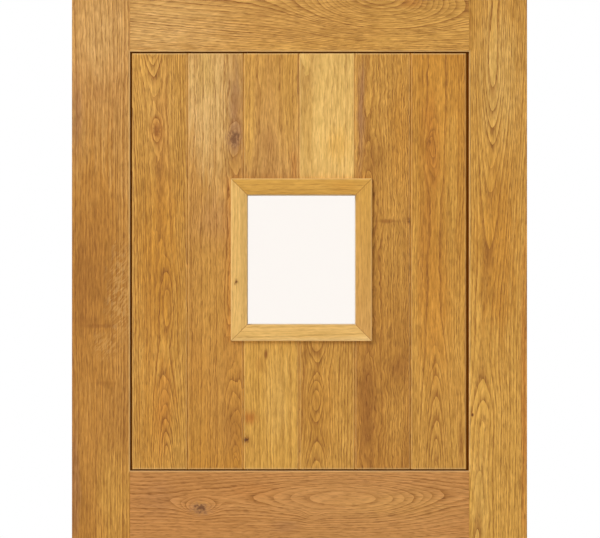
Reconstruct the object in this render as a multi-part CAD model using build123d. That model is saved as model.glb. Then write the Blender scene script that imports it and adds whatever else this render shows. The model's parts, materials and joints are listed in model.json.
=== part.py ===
from build123d import *
import os

# An oak stable door: two leaves, one above the other, that swing outwards on their own hinges and
# close on to the face of one frame. Each leaf is two stiles and two rails, mortised and tenoned
# round six tongued and grooved boards with V joints. The boards float in grooves, and an open
# joint shows all round them. The top leaf has a small glazed light, held between two rings of
# mitred bead. A brace stiffens the bottom leaf, trimmers frame the light in the top one, and two
# sliding bolts at the back tie the leaves together and hold the bottom leaf to the frame.
#
# Frame of reference, in millimetres: X runs to the right as seen from outside, Y runs into the
# building, and Z is up. The origin is at the middle of the sill's underside, with Y zero at the
# leaves' back faces.

# Leaves
LEAF_WIDTH = 838.0
LEAF_THICK = 44.0
TOP_LEAF_HEIGHT = 993.0
BOTTOM_LEAF_HEIGHT = 985.0
MEETING_GAP = 3.0
MEETING_FALL = 1.5  # the meeting edges fall by this much towards the outside, to shed rain
STILE_WIDTH = 107.0
TOP_RAIL_HEIGHT = 96.0
UPPER_MEETING_RAIL_HEIGHT = 125.5
LOWER_MEETING_RAIL_HEIGHT = 107.0
BOTTOM_RAIL_HEIGHT = 195.0
ARRIS = 0.8  # softened edge on the framing

# Mortise and tenon joints of the leaves
TENON_THICK = 14.0
TENON_LENGTH = 65.0
TENON_SHOULDER = 22.0  # rail left above and below its tenons
TENON_SPLIT = 30.0  # space between the twin tenons of the bottom rail
MORTISE_PLAY = 0.15
MORTISE_END_PLAY = 2.0

# Boards
BOARD_COUNT = 6
BOARD_THICK = 20.0
BOARD_SETBACK = 1.0  # from the framing's outside face
BOARD_V = 2.2  # chamfer along each long edge
BOARD_END_ARRIS = 1.0
TONGUE_THICK = 6.5
TONGUE_LENGTH = 7.0  # reach into the next board, or into the framing
GROOVE_END_PLAY = 0.6
GROOVE_PLAY = 0.1  # on each side of a tongue
HINGE_SIDE_JOINT = 3.4  # the open joints between the boards and the framing
LOCK_SIDE_JOINT = 4.8
TOP_JOINT = 3.0
BOTTOM_JOINT = 2.6

# Glazed light in the top leaf: it takes out the middle boards and laps on to their neighbours
CUT_LAP_HINGE_SIDE = 7.0
CUT_LAP_LOCK_SIDE = 15.5
BOARDS_BESIDE_LIGHT = 2  # whole boards on each side
SIGHT_HEIGHT = 240.0
LIGHT_HEIGHT = 514.0  # middle of the light above the top leaf's lower edge
GLASS_COVER = 13.5  # the sight line to the side of the cut in the boards
GLASS_PLAY = 3.0
PANE_THICK = 4.0
PANE_SPACE = 12.0
SPACER_INSET = 1.0
SPACER_WIDTH = 7.0
TAPE_THICK = 1.5
TAPE_WIDTH = 10.0
BLOCK_LENGTH = 25.0
TRIMMER_WIDTH = 45.0
STUB_THICK = 11.0
STUB_LENGTH = 10.0

# Glazing bead
BEAD_WIDTH = 29.5
FRONT_BEAD_PROUD = 9.0
BACK_BEAD_PROUD = 8.0
BEAD_BEVEL_WIDTH = 11.0
BEAD_BEVEL_DROP = 4.5
BEAD_ROUND = 2.0
BEAD_SPIGOT_PLAY = 0.5

# Brace
BRACE_WIDTH = 95.0

# Frame
JAMB_WIDTH = 70.0
FRAME_DEPTH = 95.0
HEAD_HEIGHT = 70.0
FRAME_GAP = 2.0  # between the leaves' backs and the frame's face
SILL_HEIGHT = 57.0
SILL_NOSE = 62.0  # reach of the sill in front of the leaves' back faces
SILL_NOSE_HEIGHT = 22.0
SILL_STEP_HEIGHT = 32.0  # top of the sloping part, where it meets the upstand
SILL_CLEARANCE = 4.0  # between the sloping part and the bottom leaf
DRIP_WIDTH = 6.0
DRIP_DEPTH = 5.0
DRIP_INSET = 10.0
JAMB_TENON_THICK = 20.0
JAMB_TENON_SHOULDER = 15.0
JAMB_TENON_LENGTH = 30.0
JAMB_BEVEL = 1.5  # off the outer front corner, which is bevelled back past the hinges' barrels

# Wall fixings through the jambs
FIXING_RADIUS = 5.5
FIXING_HEAD_RADIUS = 11.0
FIXING_HEAD_DEPTH = 12.0
FIXING_COUNT = 3
FIXING_SPACING = 700.0
FIXING_HEIGHT = 1000.0  # the middle fixing above the sill's underside

# Weather seal
SEAL_WIDTH = 5.0
SEAL_DEPTH = 4.5  # the part in the groove
SEAL_PROUD = 1.7
SEAL_PLAY = 0.15
SEAL_INSET = 49.0  # from the frame's outer faces to the middle of the seal
SEAL_SILL_HEIGHT = 46.0

# Butt hinges
HINGE_LENGTH = 100.0
FLAP_REACH = 41.0  # from the hinge's axis to the far edge of a flap
FLAP_THICK = 2.5
FLAP_SPACE = 1.0  # between the two flaps of a closed hinge
BARREL_RADIUS = 5.5
BARREL_INSET = 0.5  # the barrel lies this far inside the leaf's edge
BARREL_CLEARANCE = 0.5
HOUSING_PLAY = 0.2
KNUCKLE_COUNT = 5
KNUCKLE_SPACE = 0.3
PIN_RADIUS = 3.0
PIN_PLAY = 0.06
PIN_HEAD_RADIUS = 4.6
PIN_HEAD_HEIGHT = 3.0
HINGE_INSET = 150.0  # from a leaf's top or bottom edge to the middle of a hinge

# Sliding bolts
ROD_RADIUS = 6.0
ROD_PLAY = 0.08
ROD_HEIGHT = 13.0  # middle of the rod behind the leaf's back
ROD_TAIL = 27.0
BOLT_TRAVEL = 28.0
BOLT_LENGTH = 112.0
BOLT_WIDTH = 36.0
BOLT_PLATE_THICK = 2.0
BOLT_SCREW_PLACE = 30.0  # from each end of the plate, clear of the stile's joint
GUIDE_LENGTH = 12.0
GUIDE_WALL = 3.0
GUIDE_INSET = 4.0
KNOB_PLACE = 34.0  # along the bolt, with the bolt withdrawn
KNOB_STEM_RADIUS = 3.0
KNOB_RADIUS = 7.0
KNOB_HEIGHT = 36.0
KEEP_LENGTH = 24.0
KEEP_WIDTH = 52.0
KEEP_HOLE_PLAY = 0.6
STRIKE_HEIGHT = 56.0
STRIKE_WIDTH = 24.0
TIE_BOLT_PLACE = 120.0  # across the leaf
BOLT_END_SPACE = 4.0  # from a withdrawn rod to what it shoots into or past

# Wood screws
SCREW_RADIUS = 2.1
SCREW_HEAD_RADIUS = 4.1
SCREW_HEAD_DEPTH = 2.0
SCREW_LENGTH = 26.0
SCREW_PLAY = 0.05

# Places that follow from the sizes above
LEAF_HALF = LEAF_WIDTH / 2
LEAF_FRONT = -LEAF_THICK
PANEL_HALF = LEAF_HALF - STILE_WIDTH
SILL_SLOPE_TOP = SILL_STEP_HEIGHT
BOTTOM_LEAF_FOOT = SILL_SLOPE_TOP + SILL_CLEARANCE
BOTTOM_LEAF_HEAD = BOTTOM_LEAF_FOOT + BOTTOM_LEAF_HEIGHT
TOP_LEAF_FOOT = BOTTOM_LEAF_HEAD + MEETING_GAP
TOP_LEAF_HEAD = TOP_LEAF_FOOT + TOP_LEAF_HEIGHT
BOARD_FRONT = LEAF_FRONT + BOARD_SETBACK
BOARD_BACK = BOARD_FRONT + BOARD_THICK
TONGUE_FRONT = (BOARD_FRONT + BOARD_BACK - TONGUE_THICK) / 2
TONGUE_BACK = TONGUE_FRONT + TONGUE_THICK
TENON_BACK = LEAF_FRONT / 2 + TENON_THICK / 2
TENON_FRONT = TENON_BACK - TENON_THICK
BOARDS_LEFT = -PANEL_HALF + HINGE_SIDE_JOINT
BOARDS_RIGHT = PANEL_HALF - LOCK_SIDE_JOINT
BOARD_PITCH = (BOARDS_RIGHT - BOARDS_LEFT) / BOARD_COUNT
FRAME_FACE = FRAME_GAP
FRAME_BACK = FRAME_FACE + FRAME_DEPTH
LEAF_LAP = BARREL_INSET + 2 * BARREL_RADIUS + BARREL_CLEARANCE
FRAME_HALF = LEAF_HALF - LEAF_LAP
FRAME_HEAD = TOP_LEAF_HEAD - LEAF_LAP
HEAD_UNDERSIDE = FRAME_HEAD - HEAD_HEIGHT
JAMB_INNER = FRAME_HALF - JAMB_WIDTH
AXIS_X = -LEAF_HALF + BARREL_INSET + BARREL_RADIUS
AXIS_Y = FRAME_GAP / 2
BARREL_BACK = AXIS_Y + BARREL_RADIUS + BARREL_CLEARANCE
CUT_LEFT = BOARDS_LEFT + BOARDS_BESIDE_LIGHT * BOARD_PITCH - CUT_LAP_HINGE_SIDE
CUT_RIGHT = BOARDS_RIGHT - BOARDS_BESIDE_LIGHT * BOARD_PITCH + CUT_LAP_LOCK_SIDE
LIGHT_X = (CUT_LEFT + CUT_RIGHT) / 2
LIGHT_Z = TOP_LEAF_FOOT + LIGHT_HEIGHT
CUT_HALF_WIDTH = (CUT_RIGHT - CUT_LEFT) / 2
SIGHT_WIDTH = 2 * (CUT_HALF_WIDTH - GLASS_COVER)
CUT_HALF_HEIGHT = SIGHT_HEIGHT / 2 + GLASS_COVER
GLASS_HALF_WIDTH = CUT_HALF_WIDTH - GLASS_PLAY
GLASS_HALF_HEIGHT = CUT_HALF_HEIGHT - GLASS_PLAY
UNIT_THICK = 2 * PANE_THICK + PANE_SPACE
UNIT_FRONT = LEAF_FRONT / 2 - UNIT_THICK / 2
UNIT_BACK = UNIT_FRONT + UNIT_THICK
STUB_BACK = BOARD_BACK / 2 + STUB_THICK / 2
STUB_FRONT = STUB_BACK - STUB_THICK
CUTTER_EXTRA = 5.0  # how far a cutter runs past what it cuts


def block(x0, x1, y0, y1, z0, z1):
    """A box between two corners."""
    middle = Pos((x0 + x1) / 2, (y0 + y1) / 2, (z0 + z1) / 2)
    return middle * Box(x1 - x0, y1 - y0, z1 - z0)


def run_along_x(outline, x0, x1):
    """An outline of (y, z) points carried from x0 to x1."""
    face = make_face(Polyline(*outline, close=True))
    return Pos(x0, 0, 0) * extrude(Plane.YZ * face, x1 - x0)


def run_along_y(outline, y0, y1):
    """An outline of (x, z) points carried from y0 to y1."""
    face = make_face(Polyline(*outline, close=True))
    return Pos(0, y1, 0) * extrude(Plane.XZ * face, y1 - y0)


def run_along_z(outline, z0, z1):
    """An outline of (x, y) points carried from z0 to z1."""
    face = make_face(Polyline(*outline, close=True))
    return Pos(0, 0, z0) * extrude(face, z1 - z0)


def eased(a0, a1, b0, b1, ease):
    """A rectangle's outline with its four corners taken off by ease."""
    return [
        (a0 + ease, b0), (a1 - ease, b0), (a1, b0 + ease), (a1, b1 - ease),
        (a1 - ease, b1), (a0 + ease, b1), (a0, b1 - ease), (a0, b0 + ease),
    ]


def rod_along_x(radius, x0, x1, y, z):
    """A round bar from x0 to x1."""
    return Pos((x0 + x1) / 2, y, z) * Rot(0, 90, 0) * Cylinder(radius, x1 - x0)


def rod_along_z(radius, x, y, z0, z1):
    """An upright round bar from z0 to z1."""
    return Pos(x, y, (z0 + z1) / 2) * Cylinder(radius, z1 - z0)


def solid_of(shape):
    """The single solid of a shape that boolean steps have wrapped in a compound."""
    solids = shape.solids()
    return solids[0] if len(solids) == 1 else Compound(solids)


# Framing of the leaves
def tenon_spans(foot, head, twin):
    """The heights, low and high, of the one or two tenons at a rail's end."""
    low, high = foot + TENON_SHOULDER, head - TENON_SHOULDER
    if not twin:
        return [(low, high)]
    middle = (low + high) / 2
    return [(low, middle - TENON_SPLIT / 2), (middle + TENON_SPLIT / 2, high)]


def board_groove_in_rail(edge, side):
    """The cutter for the groove that takes the boards' ends. side is 1 where the boards are below."""
    depth = TONGUE_LENGTH + GROOVE_END_PLAY
    low, high = sorted((edge, edge + side * depth))
    low, high = (low - CUTTER_EXTRA, high) if side > 0 else (low, high + CUTTER_EXTRA)
    return block(-PANEL_HALF - 1, PANEL_HALF + 1, TONGUE_FRONT - GROOVE_PLAY,
                 TONGUE_BACK + GROOVE_PLAY, low, high)


def rail(foot, head, twin=False, boards_below=None, slope_foot=False, slope_head=False):
    """A rail between the stiles, with its tenons, its board groove and any sloping edge."""
    outline = eased(LEAF_FRONT, 0, foot, head, ARRIS)
    if slope_foot:
        outline[1], outline[2] = (-ARRIS, foot + MEETING_FALL), (0, foot + MEETING_FALL + ARRIS)
    if slope_head:
        outline[3], outline[4] = (0, head + MEETING_FALL - ARRIS), (-ARRIS, head + MEETING_FALL)
    made = run_along_x(outline, -PANEL_HALF, PANEL_HALF)
    for low, high in tenon_spans(foot, head, twin):
        made += block(-PANEL_HALF - TENON_LENGTH, PANEL_HALF + TENON_LENGTH,
                      TENON_FRONT, TENON_BACK, low, high)
    if boards_below:
        return made - board_groove_in_rail(foot, 1)
    return made - board_groove_in_rail(head, -1)


def stile(side, foot, head, panel_foot, panel_head, tenons, slope_foot=False, slope_head=False):
    """A stile over the whole height of its leaf. side is -1 on the hinge side and 1 on the lock side."""
    top = head + (MEETING_FALL if slope_head else 0)
    inner, outer = sorted((side * PANEL_HALF, side * LEAF_HALF))
    made = run_along_z(eased(inner, outer, LEAF_FRONT, 0, ARRIS), foot, top)
    depth = TONGUE_LENGTH + GROOVE_END_PLAY
    groove = sorted((side * (PANEL_HALF - CUTTER_EXTRA), side * (PANEL_HALF + depth)))
    made -= block(*groove, TONGUE_FRONT - GROOVE_PLAY, TONGUE_BACK + GROOVE_PLAY,
                  panel_foot - depth, panel_head + depth)
    mortise = sorted((side * (PANEL_HALF - CUTTER_EXTRA),
                      side * (PANEL_HALF + TENON_LENGTH + MORTISE_END_PLAY)))
    for low, high in tenons:
        made -= block(*mortise, TENON_FRONT - MORTISE_PLAY, TENON_BACK + MORTISE_PLAY,
                      low - MORTISE_PLAY, high + MORTISE_PLAY)
    if slope_foot:
        made -= meeting_wedge(foot, -1)
    if slope_head:
        made -= meeting_wedge(head, 1)
    return made


def meeting_wedge(edge, side):
    """What is cut off a stile's end to make its sloping meeting edge. edge is its height in front."""
    fall_in = MEETING_FALL * CUTTER_EXTRA / LEAF_THICK
    front, back = LEAF_FRONT - CUTTER_EXTRA, CUTTER_EXTRA
    far = edge + side * 10 * CUTTER_EXTRA
    outline = [(front, edge - fall_in), (back, edge + MEETING_FALL + fall_in), (back, far), (front, far)]
    return run_along_x(outline, -LEAF_HALF - CUTTER_EXTRA, LEAF_HALF + CUTTER_EXTRA)


# Boards
def board_outline(index):
    """The (x, y) section of one board, its tongue to the right and its groove to the left."""
    left = BOARDS_LEFT + index * BOARD_PITCH
    right = left + BOARD_PITCH
    last = index == BOARD_COUNT - 1
    reach = right + TONGUE_LENGTH + (LOCK_SIDE_JOINT if last else 0)
    outline = [
        (left + BOARD_V, BOARD_FRONT), (right - BOARD_V, BOARD_FRONT), (right, BOARD_FRONT + BOARD_V),
        (right, TONGUE_FRONT), (reach, TONGUE_FRONT), (reach, TONGUE_BACK), (right, TONGUE_BACK),
        (right, BOARD_BACK - BOARD_V), (right - BOARD_V, BOARD_BACK), (left + BOARD_V, BOARD_BACK),
        (left, BOARD_BACK - BOARD_V),
    ]
    if index == 0:
        end = left - HINGE_SIDE_JOINT - TONGUE_LENGTH
        side = [(left, TONGUE_BACK), (end, TONGUE_BACK), (end, TONGUE_FRONT), (left, TONGUE_FRONT)]
    else:
        end = left + TONGUE_LENGTH + GROOVE_END_PLAY
        wide_back, wide_front = TONGUE_BACK + GROOVE_PLAY, TONGUE_FRONT - GROOVE_PLAY
        side = [(left, wide_back), (end, wide_back), (end, wide_front), (left, wide_front)]
    return outline + side + [(left, BOARD_FRONT + BOARD_V)]


def end_shoulder(edge, side):
    """What is cut off a board's end in front of and behind its tongue. side is 1 at the top end."""
    far = edge + side * 10 * CUTTER_EXTRA
    ease, over = BOARD_END_ARRIS, CUTTER_EXTRA
    front = [(BOARD_FRONT - over, edge - side * (ease + over)), (BOARD_FRONT + ease, edge),
             (TONGUE_FRONT, edge), (TONGUE_FRONT, far), (BOARD_FRONT - over, far)]
    back = [(BOARD_BACK + over, edge - side * (ease + over)), (BOARD_BACK - ease, edge),
            (TONGUE_BACK, edge), (TONGUE_BACK, far), (BOARD_BACK + over, far)]
    across = (-LEAF_HALF, LEAF_HALF)
    return run_along_x(front, *across) + run_along_x(back, *across)


def light_cut():
    """The hole through the boards for the glazed light."""
    return block(LIGHT_X - CUT_HALF_WIDTH, LIGHT_X + CUT_HALF_WIDTH,
                 BOARD_FRONT - CUTTER_EXTRA, BOARD_BACK + CUTTER_EXTRA,
                 LIGHT_Z - CUT_HALF_HEIGHT, LIGHT_Z + CUT_HALF_HEIGHT)


def boards(prefix, panel_foot, panel_head, glazed):
    """The boards of one leaf by name. The light cuts some of them in two."""
    made = {}
    for index in range(BOARD_COUNT):
        whole = run_along_z(board_outline(index), panel_foot - TONGUE_LENGTH, panel_head + TONGUE_LENGTH)
        whole -= end_shoulder(panel_foot + BOTTOM_JOINT, -1)
        whole -= end_shoulder(panel_head - TOP_JOINT, 1)
        name = f"{prefix}_board_{index + 1}"
        if glazed:
            whole -= light_cut()
        pieces = sorted(whole.solids(), key=lambda piece: piece.center().Z)
        if len(pieces) == 1:
            made[name] = pieces[0]
        else:
            made[name + "_lower"], made[name + "_upper"] = pieces
    return made


# Glazed light
def ring(half_width, half_height, width, y0, y1):
    """A flat rectangular ring round the middle of the light, width wide inside its outer edge."""
    outer = block(LIGHT_X - half_width, LIGHT_X + half_width, y0, y1,
                  LIGHT_Z - half_height, LIGHT_Z + half_height)
    inner = block(LIGHT_X - half_width + width, LIGHT_X + half_width - width,
                  y0 - CUTTER_EXTRA, y1 + CUTTER_EXTRA,
                  LIGHT_Z - half_height + width, LIGHT_Z + half_height - width)
    return outer - inner


def pane(front):
    """One sheet of glass."""
    return block(LIGHT_X - GLASS_HALF_WIDTH, LIGHT_X + GLASS_HALF_WIDTH, front, front + PANE_THICK,
                 LIGHT_Z - GLASS_HALF_HEIGHT, LIGHT_Z + GLASS_HALF_HEIGHT)


def glazing():
    """The sealed double glazing, its tapes and the blocks that it stands on."""
    tape_half_width, tape_half_height = GLASS_HALF_WIDTH - SPACER_INSET, GLASS_HALF_HEIGHT - SPACER_INSET
    tapes = [ring(tape_half_width, tape_half_height, TAPE_WIDTH - SPACER_INSET, y, y + TAPE_THICK)
             for y in (UNIT_FRONT - TAPE_THICK, UNIT_BACK)]
    foot = LIGHT_Z - CUT_HALF_HEIGHT
    blocks = [block(LIGHT_X + place - BLOCK_LENGTH / 2, LIGHT_X + place + BLOCK_LENGTH / 2,
                    UNIT_FRONT, UNIT_BACK, foot, foot + GLASS_PLAY)
              for place in (-GLASS_HALF_WIDTH / 2, GLASS_HALF_WIDTH / 2)]
    spacer = ring(tape_half_width, tape_half_height, SPACER_WIDTH,
                  UNIT_FRONT + PANE_THICK, UNIT_BACK - PANE_THICK)
    return {
        "outer_glass_pane": pane(UNIT_FRONT),
        "inner_glass_pane": pane(UNIT_BACK - PANE_THICK),
        "glass_spacer_bar": spacer,
        "glazing_tapes": Compound([solid_of(tape) for tape in tapes]),
        "glass_setting_blocks": Compound([solid_of(item) for item in blocks]),
    }


def bead(inner_run, reach, face, side, proud, spigot):
    """One mitred length of bead below the middle of a light. side is -1 outside and 1 inside."""
    foot_width = GLASS_COVER - BEAD_SPIGOT_PLAY
    outline = [(0, -spigot), (0, proud - BEAD_BEVEL_DROP), (BEAD_BEVEL_WIDTH, proud), (BEAD_WIDTH, proud),
               (BEAD_WIDTH, 0), (foot_width, 0), (foot_width, -spigot)]
    section = make_face(Polyline(*[(face + side * out, -reach - away) for away, out in outline], close=True))
    corner = section.vertices().sort_by_distance((face + side * proud, -reach - BEAD_WIDTH, 0))[0]
    section = fillet(corner, BEAD_ROUND)
    half = inner_run / 2 + BEAD_WIDTH
    length = Pos(-half, 0, 0) * extrude(Plane.YZ * section, 2 * half)
    mitres = [(-inner_run / 2, -reach), (inner_run / 2, -reach),
              (half, -reach - BEAD_WIDTH), (-half, -reach - BEAD_WIDTH)]
    span = sorted((face - side * (spigot + CUTTER_EXTRA), face + side * (proud + CUTTER_EXTRA)))
    return length & run_along_y(mitres, *span)


def bead_ring(prefix, face, side, proud, spigot):
    """The four mitred beads on one side of the glass, by name."""
    made = {}
    for name, turn in (("bottom", 0), ("left", 90), ("top", 180), ("right", 270)):
        level = turn % 180 == 0
        inner_run, across = (SIGHT_WIDTH, SIGHT_HEIGHT) if level else (SIGHT_HEIGHT, SIGHT_WIDTH)
        piece = bead(inner_run, across / 2, face, side, proud, spigot)
        made[f"{prefix}_bead_{name}"] = Pos(LIGHT_X, 0, LIGHT_Z) * Rot(0, turn, 0) * piece
    return made


def trimmers(panel_foot, panel_head):
    """The framing round the light behind the boards: two uprights, and two bars between them."""
    left, right = LIGHT_X - CUT_HALF_WIDTH, LIGHT_X + CUT_HALF_WIDTH
    foot, head = LIGHT_Z - CUT_HALF_HEIGHT, LIGHT_Z + CUT_HALF_HEIGHT
    bars = {
        "top_leaf_trimmer_bottom": (foot - TRIMMER_WIDTH, foot),
        "top_leaf_trimmer_top": (head, head + TRIMMER_WIDTH),
    }
    made = {}
    for name, (low, high) in bars.items():
        bar = block(left, right, BOARD_BACK, 0, low, high)
        made[name] = bar + block(left - STUB_LENGTH, right + STUB_LENGTH, STUB_FRONT, STUB_BACK,
                                 *stub_span(low, high))
    for name, inner, side in (("left", left, -1), ("right", right, 1)):
        near, far = sorted((inner, inner + side * TRIMMER_WIDTH))
        post = block(near, far, BOARD_BACK, 0, panel_foot, panel_head)
        post += block(*stub_span(near, far), STUB_FRONT, STUB_BACK,
                      panel_foot - STUB_LENGTH, panel_head + STUB_LENGTH)
        for low, high in bars.values():
            socket = sorted((inner - side * CUTTER_EXTRA, inner + side * (STUB_LENGTH + GROOVE_END_PLAY)))
            post -= block(*socket, STUB_FRONT - MORTISE_PLAY, STUB_BACK + MORTISE_PLAY,
                          *widened(stub_span(low, high), MORTISE_PLAY))
        made[f"top_leaf_trimmer_{name}"] = post
    return made


def stub_span(low, high):
    """The span of a stub tenon across a trimmer."""
    shoulder = (high - low) / 4
    return low + shoulder, high - shoulder


def widened(span, play):
    """A span with play added at both ends."""
    return span[0] - play, span[1] + play


def trimmer_sockets(edge, side):
    """The cutters for the uprights' stub tenons in a rail. side is 1 where the rail is above edge."""
    cutters = []
    for inner, way in ((LIGHT_X - CUT_HALF_WIDTH, -1), (LIGHT_X + CUT_HALF_WIDTH, 1)):
        near, far = sorted((inner, inner + way * TRIMMER_WIDTH))
        depth = sorted((edge - side * CUTTER_EXTRA, edge + side * (STUB_LENGTH + GROOVE_END_PLAY)))
        cutters.append(block(*widened(stub_span(near, far), MORTISE_PLAY),
                             STUB_FRONT - MORTISE_PLAY, STUB_BACK + MORTISE_PLAY, *depth))
    return cutters


def brace(panel_foot, panel_head):
    """The slanting brace: it rises from the hinge side's foot to the lock side's head."""
    run = Vector(2 * PANEL_HALF, 0, panel_head - panel_foot)
    tilt = Vector(1, 0, 0).get_angle(run)
    band = Pos(0, BOARD_BACK / 2, (panel_foot + panel_head) / 2) * Rot(0, -tilt, 0) * Box(
        2 * run.length, -BOARD_BACK, BRACE_WIDTH)
    return band & block(-PANEL_HALF, PANEL_HALF, BOARD_BACK, 0, panel_foot, panel_head)


# Frame
def seal_loop(play, y0, y1):
    """The weather seal's loop, or with play the groove that it sits in."""
    across, high, low = FRAME_HALF - SEAL_INSET, FRAME_HEAD - SEAL_INSET, SEAL_SILL_HEIGHT
    half = SEAL_WIDTH / 2 + play
    outer = block(-across - half, across + half, y0, y1, low - half, high + half)
    inner = block(-across + half, across - half, y0 - CUTTER_EXTRA, y1 + CUTTER_EXTRA,
                  low + half, high - half)
    return outer - inner


def weather_seal():
    """The seal: a strip in the frame's groove, with a rounded nose against the leaves."""
    front = FRAME_FACE - SEAL_PROUD
    loop = seal_loop(0, front, FRAME_FACE + SEAL_DEPTH)
    nose = loop.edges().filter_by_position(Axis.Y, front - 0.01, front + 0.01)
    return chamfer(nose, SEAL_WIDTH * 0.3)


def fixing_heights():
    """The heights of the wall fixings in a jamb."""
    first = FIXING_HEIGHT - FIXING_SPACING * (FIXING_COUNT - 1) / 2
    return [first + FIXING_SPACING * index for index in range(FIXING_COUNT)]


def jamb(side):
    """An upright of the frame, with its tenons, wall fixings and seal groove."""
    near, far = sorted((side * JAMB_INNER, side * FRAME_HALF))
    outline = eased(near, far, FRAME_FACE, FRAME_BACK, ARRIS)
    bevel = [(side * (FRAME_HALF - JAMB_BEVEL), FRAME_FACE), (side * FRAME_HALF, BARREL_BACK)]
    if side > 0:
        outline[1:3] = bevel
    else:
        outline[0], outline[-1] = bevel
    made = run_along_z(outline, SILL_HEIGHT, HEAD_UNDERSIDE)
    middle = (FRAME_FACE + FRAME_BACK) / 2
    made += block(near + JAMB_TENON_SHOULDER, far - JAMB_TENON_SHOULDER,
                  middle - JAMB_TENON_THICK / 2, middle + JAMB_TENON_THICK / 2,
                  SILL_HEIGHT - JAMB_TENON_LENGTH, HEAD_UNDERSIDE + JAMB_TENON_LENGTH)
    for height in fixing_heights():
        made -= rod_along_x(FIXING_RADIUS, near - CUTTER_EXTRA, far + CUTTER_EXTRA, middle, height)
        head = sorted((side * (JAMB_INNER - CUTTER_EXTRA), side * (JAMB_INNER + FIXING_HEAD_DEPTH)))
        made -= rod_along_x(FIXING_HEAD_RADIUS, *head, middle, height)
    return made - seal_loop(SEAL_PLAY, FRAME_FACE - CUTTER_EXTRA, FRAME_FACE + SEAL_DEPTH + SEAL_PLAY)


def jamb_mortises(z0, z1):
    """The cutters for the jambs' tenons between two heights."""
    middle = (FRAME_FACE + FRAME_BACK) / 2
    half = JAMB_TENON_THICK / 2 + MORTISE_PLAY
    near = JAMB_INNER + JAMB_TENON_SHOULDER - MORTISE_PLAY
    far = FRAME_HALF - JAMB_TENON_SHOULDER + MORTISE_PLAY
    return [block(*sorted((side * near, side * far)), middle - half, middle + half, z0, z1)
            for side in (-1, 1)]


def frame_head():
    """The frame's top bar, over the jambs."""
    made = run_along_x(eased(FRAME_FACE, FRAME_BACK, HEAD_UNDERSIDE, FRAME_HEAD, ARRIS),
                       -FRAME_HALF, FRAME_HALF)
    for cutter in jamb_mortises(HEAD_UNDERSIDE - CUTTER_EXTRA,
                                HEAD_UNDERSIDE + JAMB_TENON_LENGTH + MORTISE_END_PLAY):
        made -= cutter
    return made - seal_loop(SEAL_PLAY, FRAME_FACE - CUTTER_EXTRA, FRAME_FACE + SEAL_DEPTH + SEAL_PLAY)


def sill():
    """The sill: a sloping nose with a drip under it, and an upstand behind the leaves."""
    nose = -SILL_NOSE
    outline = [
        (nose, 0), (nose, SILL_NOSE_HEIGHT - ARRIS), (nose + ARRIS, SILL_NOSE_HEIGHT),
        (FRAME_FACE, SILL_STEP_HEIGHT), (FRAME_FACE, SILL_HEIGHT - ARRIS),
        (FRAME_FACE + ARRIS, SILL_HEIGHT), (FRAME_BACK - ARRIS, SILL_HEIGHT),
        (FRAME_BACK, SILL_HEIGHT - ARRIS), (FRAME_BACK, 0),
        (nose + DRIP_INSET + DRIP_WIDTH, 0), (nose + DRIP_INSET + DRIP_WIDTH, DRIP_DEPTH),
        (nose + DRIP_INSET, DRIP_DEPTH), (nose + DRIP_INSET, 0),
    ]
    made = run_along_x(outline, -FRAME_HALF, FRAME_HALF)
    for cutter in jamb_mortises(SILL_HEIGHT - JAMB_TENON_LENGTH - MORTISE_END_PLAY,
                                SILL_HEIGHT + CUTTER_EXTRA):
        made -= cutter
    return made - seal_loop(SEAL_PLAY, FRAME_FACE - CUTTER_EXTRA, FRAME_FACE + SEAL_DEPTH + SEAL_PLAY)


# Screws
def screw(play=0.0):
    """A countersunk screw along +Y from its head's face at the origin, or with play its hole."""
    head, shank, depth = SCREW_HEAD_RADIUS + play, SCREW_RADIUS + play, SCREW_HEAD_DEPTH
    outline = [(0, 0), (head, 0), (shank, depth), (shank, SCREW_LENGTH - 2 * SCREW_RADIUS),
               (0, SCREW_LENGTH + play)]
    if play:
        outline = [(0, -CUTTER_EXTRA), (head, -CUTTER_EXTRA)] + outline[1:]
    face = make_face(Polyline(*outline, close=True))
    return revolve(face, Axis.Y)


def drive_in(places, host):
    """Drills a screw's hole at each place in host. A place is a Location with +Y into the wood."""
    for place in places:
        host -= place * screw(SCREW_PLAY)
    return host


# Hinges
def hinge_heights(foot, head):
    """The middles of a leaf's two hinges."""
    return foot + HINGE_INSET, head - HINGE_INSET


def flap_faces(on_leaf):
    """The lowest and highest y of a flap, and the y of the face that shows when the hinge is open."""
    if on_leaf:
        face = AXIS_Y - FLAP_SPACE / 2
        return face - FLAP_THICK, face, face
    face = AXIS_Y + FLAP_SPACE / 2
    return face, face + FLAP_THICK, face


def flap_screw_places(height, on_leaf):
    """Where the four screws of a flap go, in a zigzag."""
    places = []
    turn = Rot(180, 0, 0) if on_leaf else Rot(0, 0, 0)
    near, far = AXIS_X + FLAP_REACH * 0.42, AXIS_X + FLAP_REACH * 0.72
    for across, along in ((near, -0.38), (far, -0.14), (near, 0.14), (far, 0.38)):
        places.append(Pos(across, flap_faces(on_leaf)[2], height + along * HINGE_LENGTH) * turn)
    return places


def knuckle_spans(height):
    """The low and high ends of each knuckle of a hinge."""
    length = (HINGE_LENGTH - KNUCKLE_SPACE * (KNUCKLE_COUNT - 1)) / KNUCKLE_COUNT
    foot = height - HINGE_LENGTH / 2
    return [(foot + index * (length + KNUCKLE_SPACE), foot + index * (length + KNUCKLE_SPACE) + length)
            for index in range(KNUCKLE_COUNT)]


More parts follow.
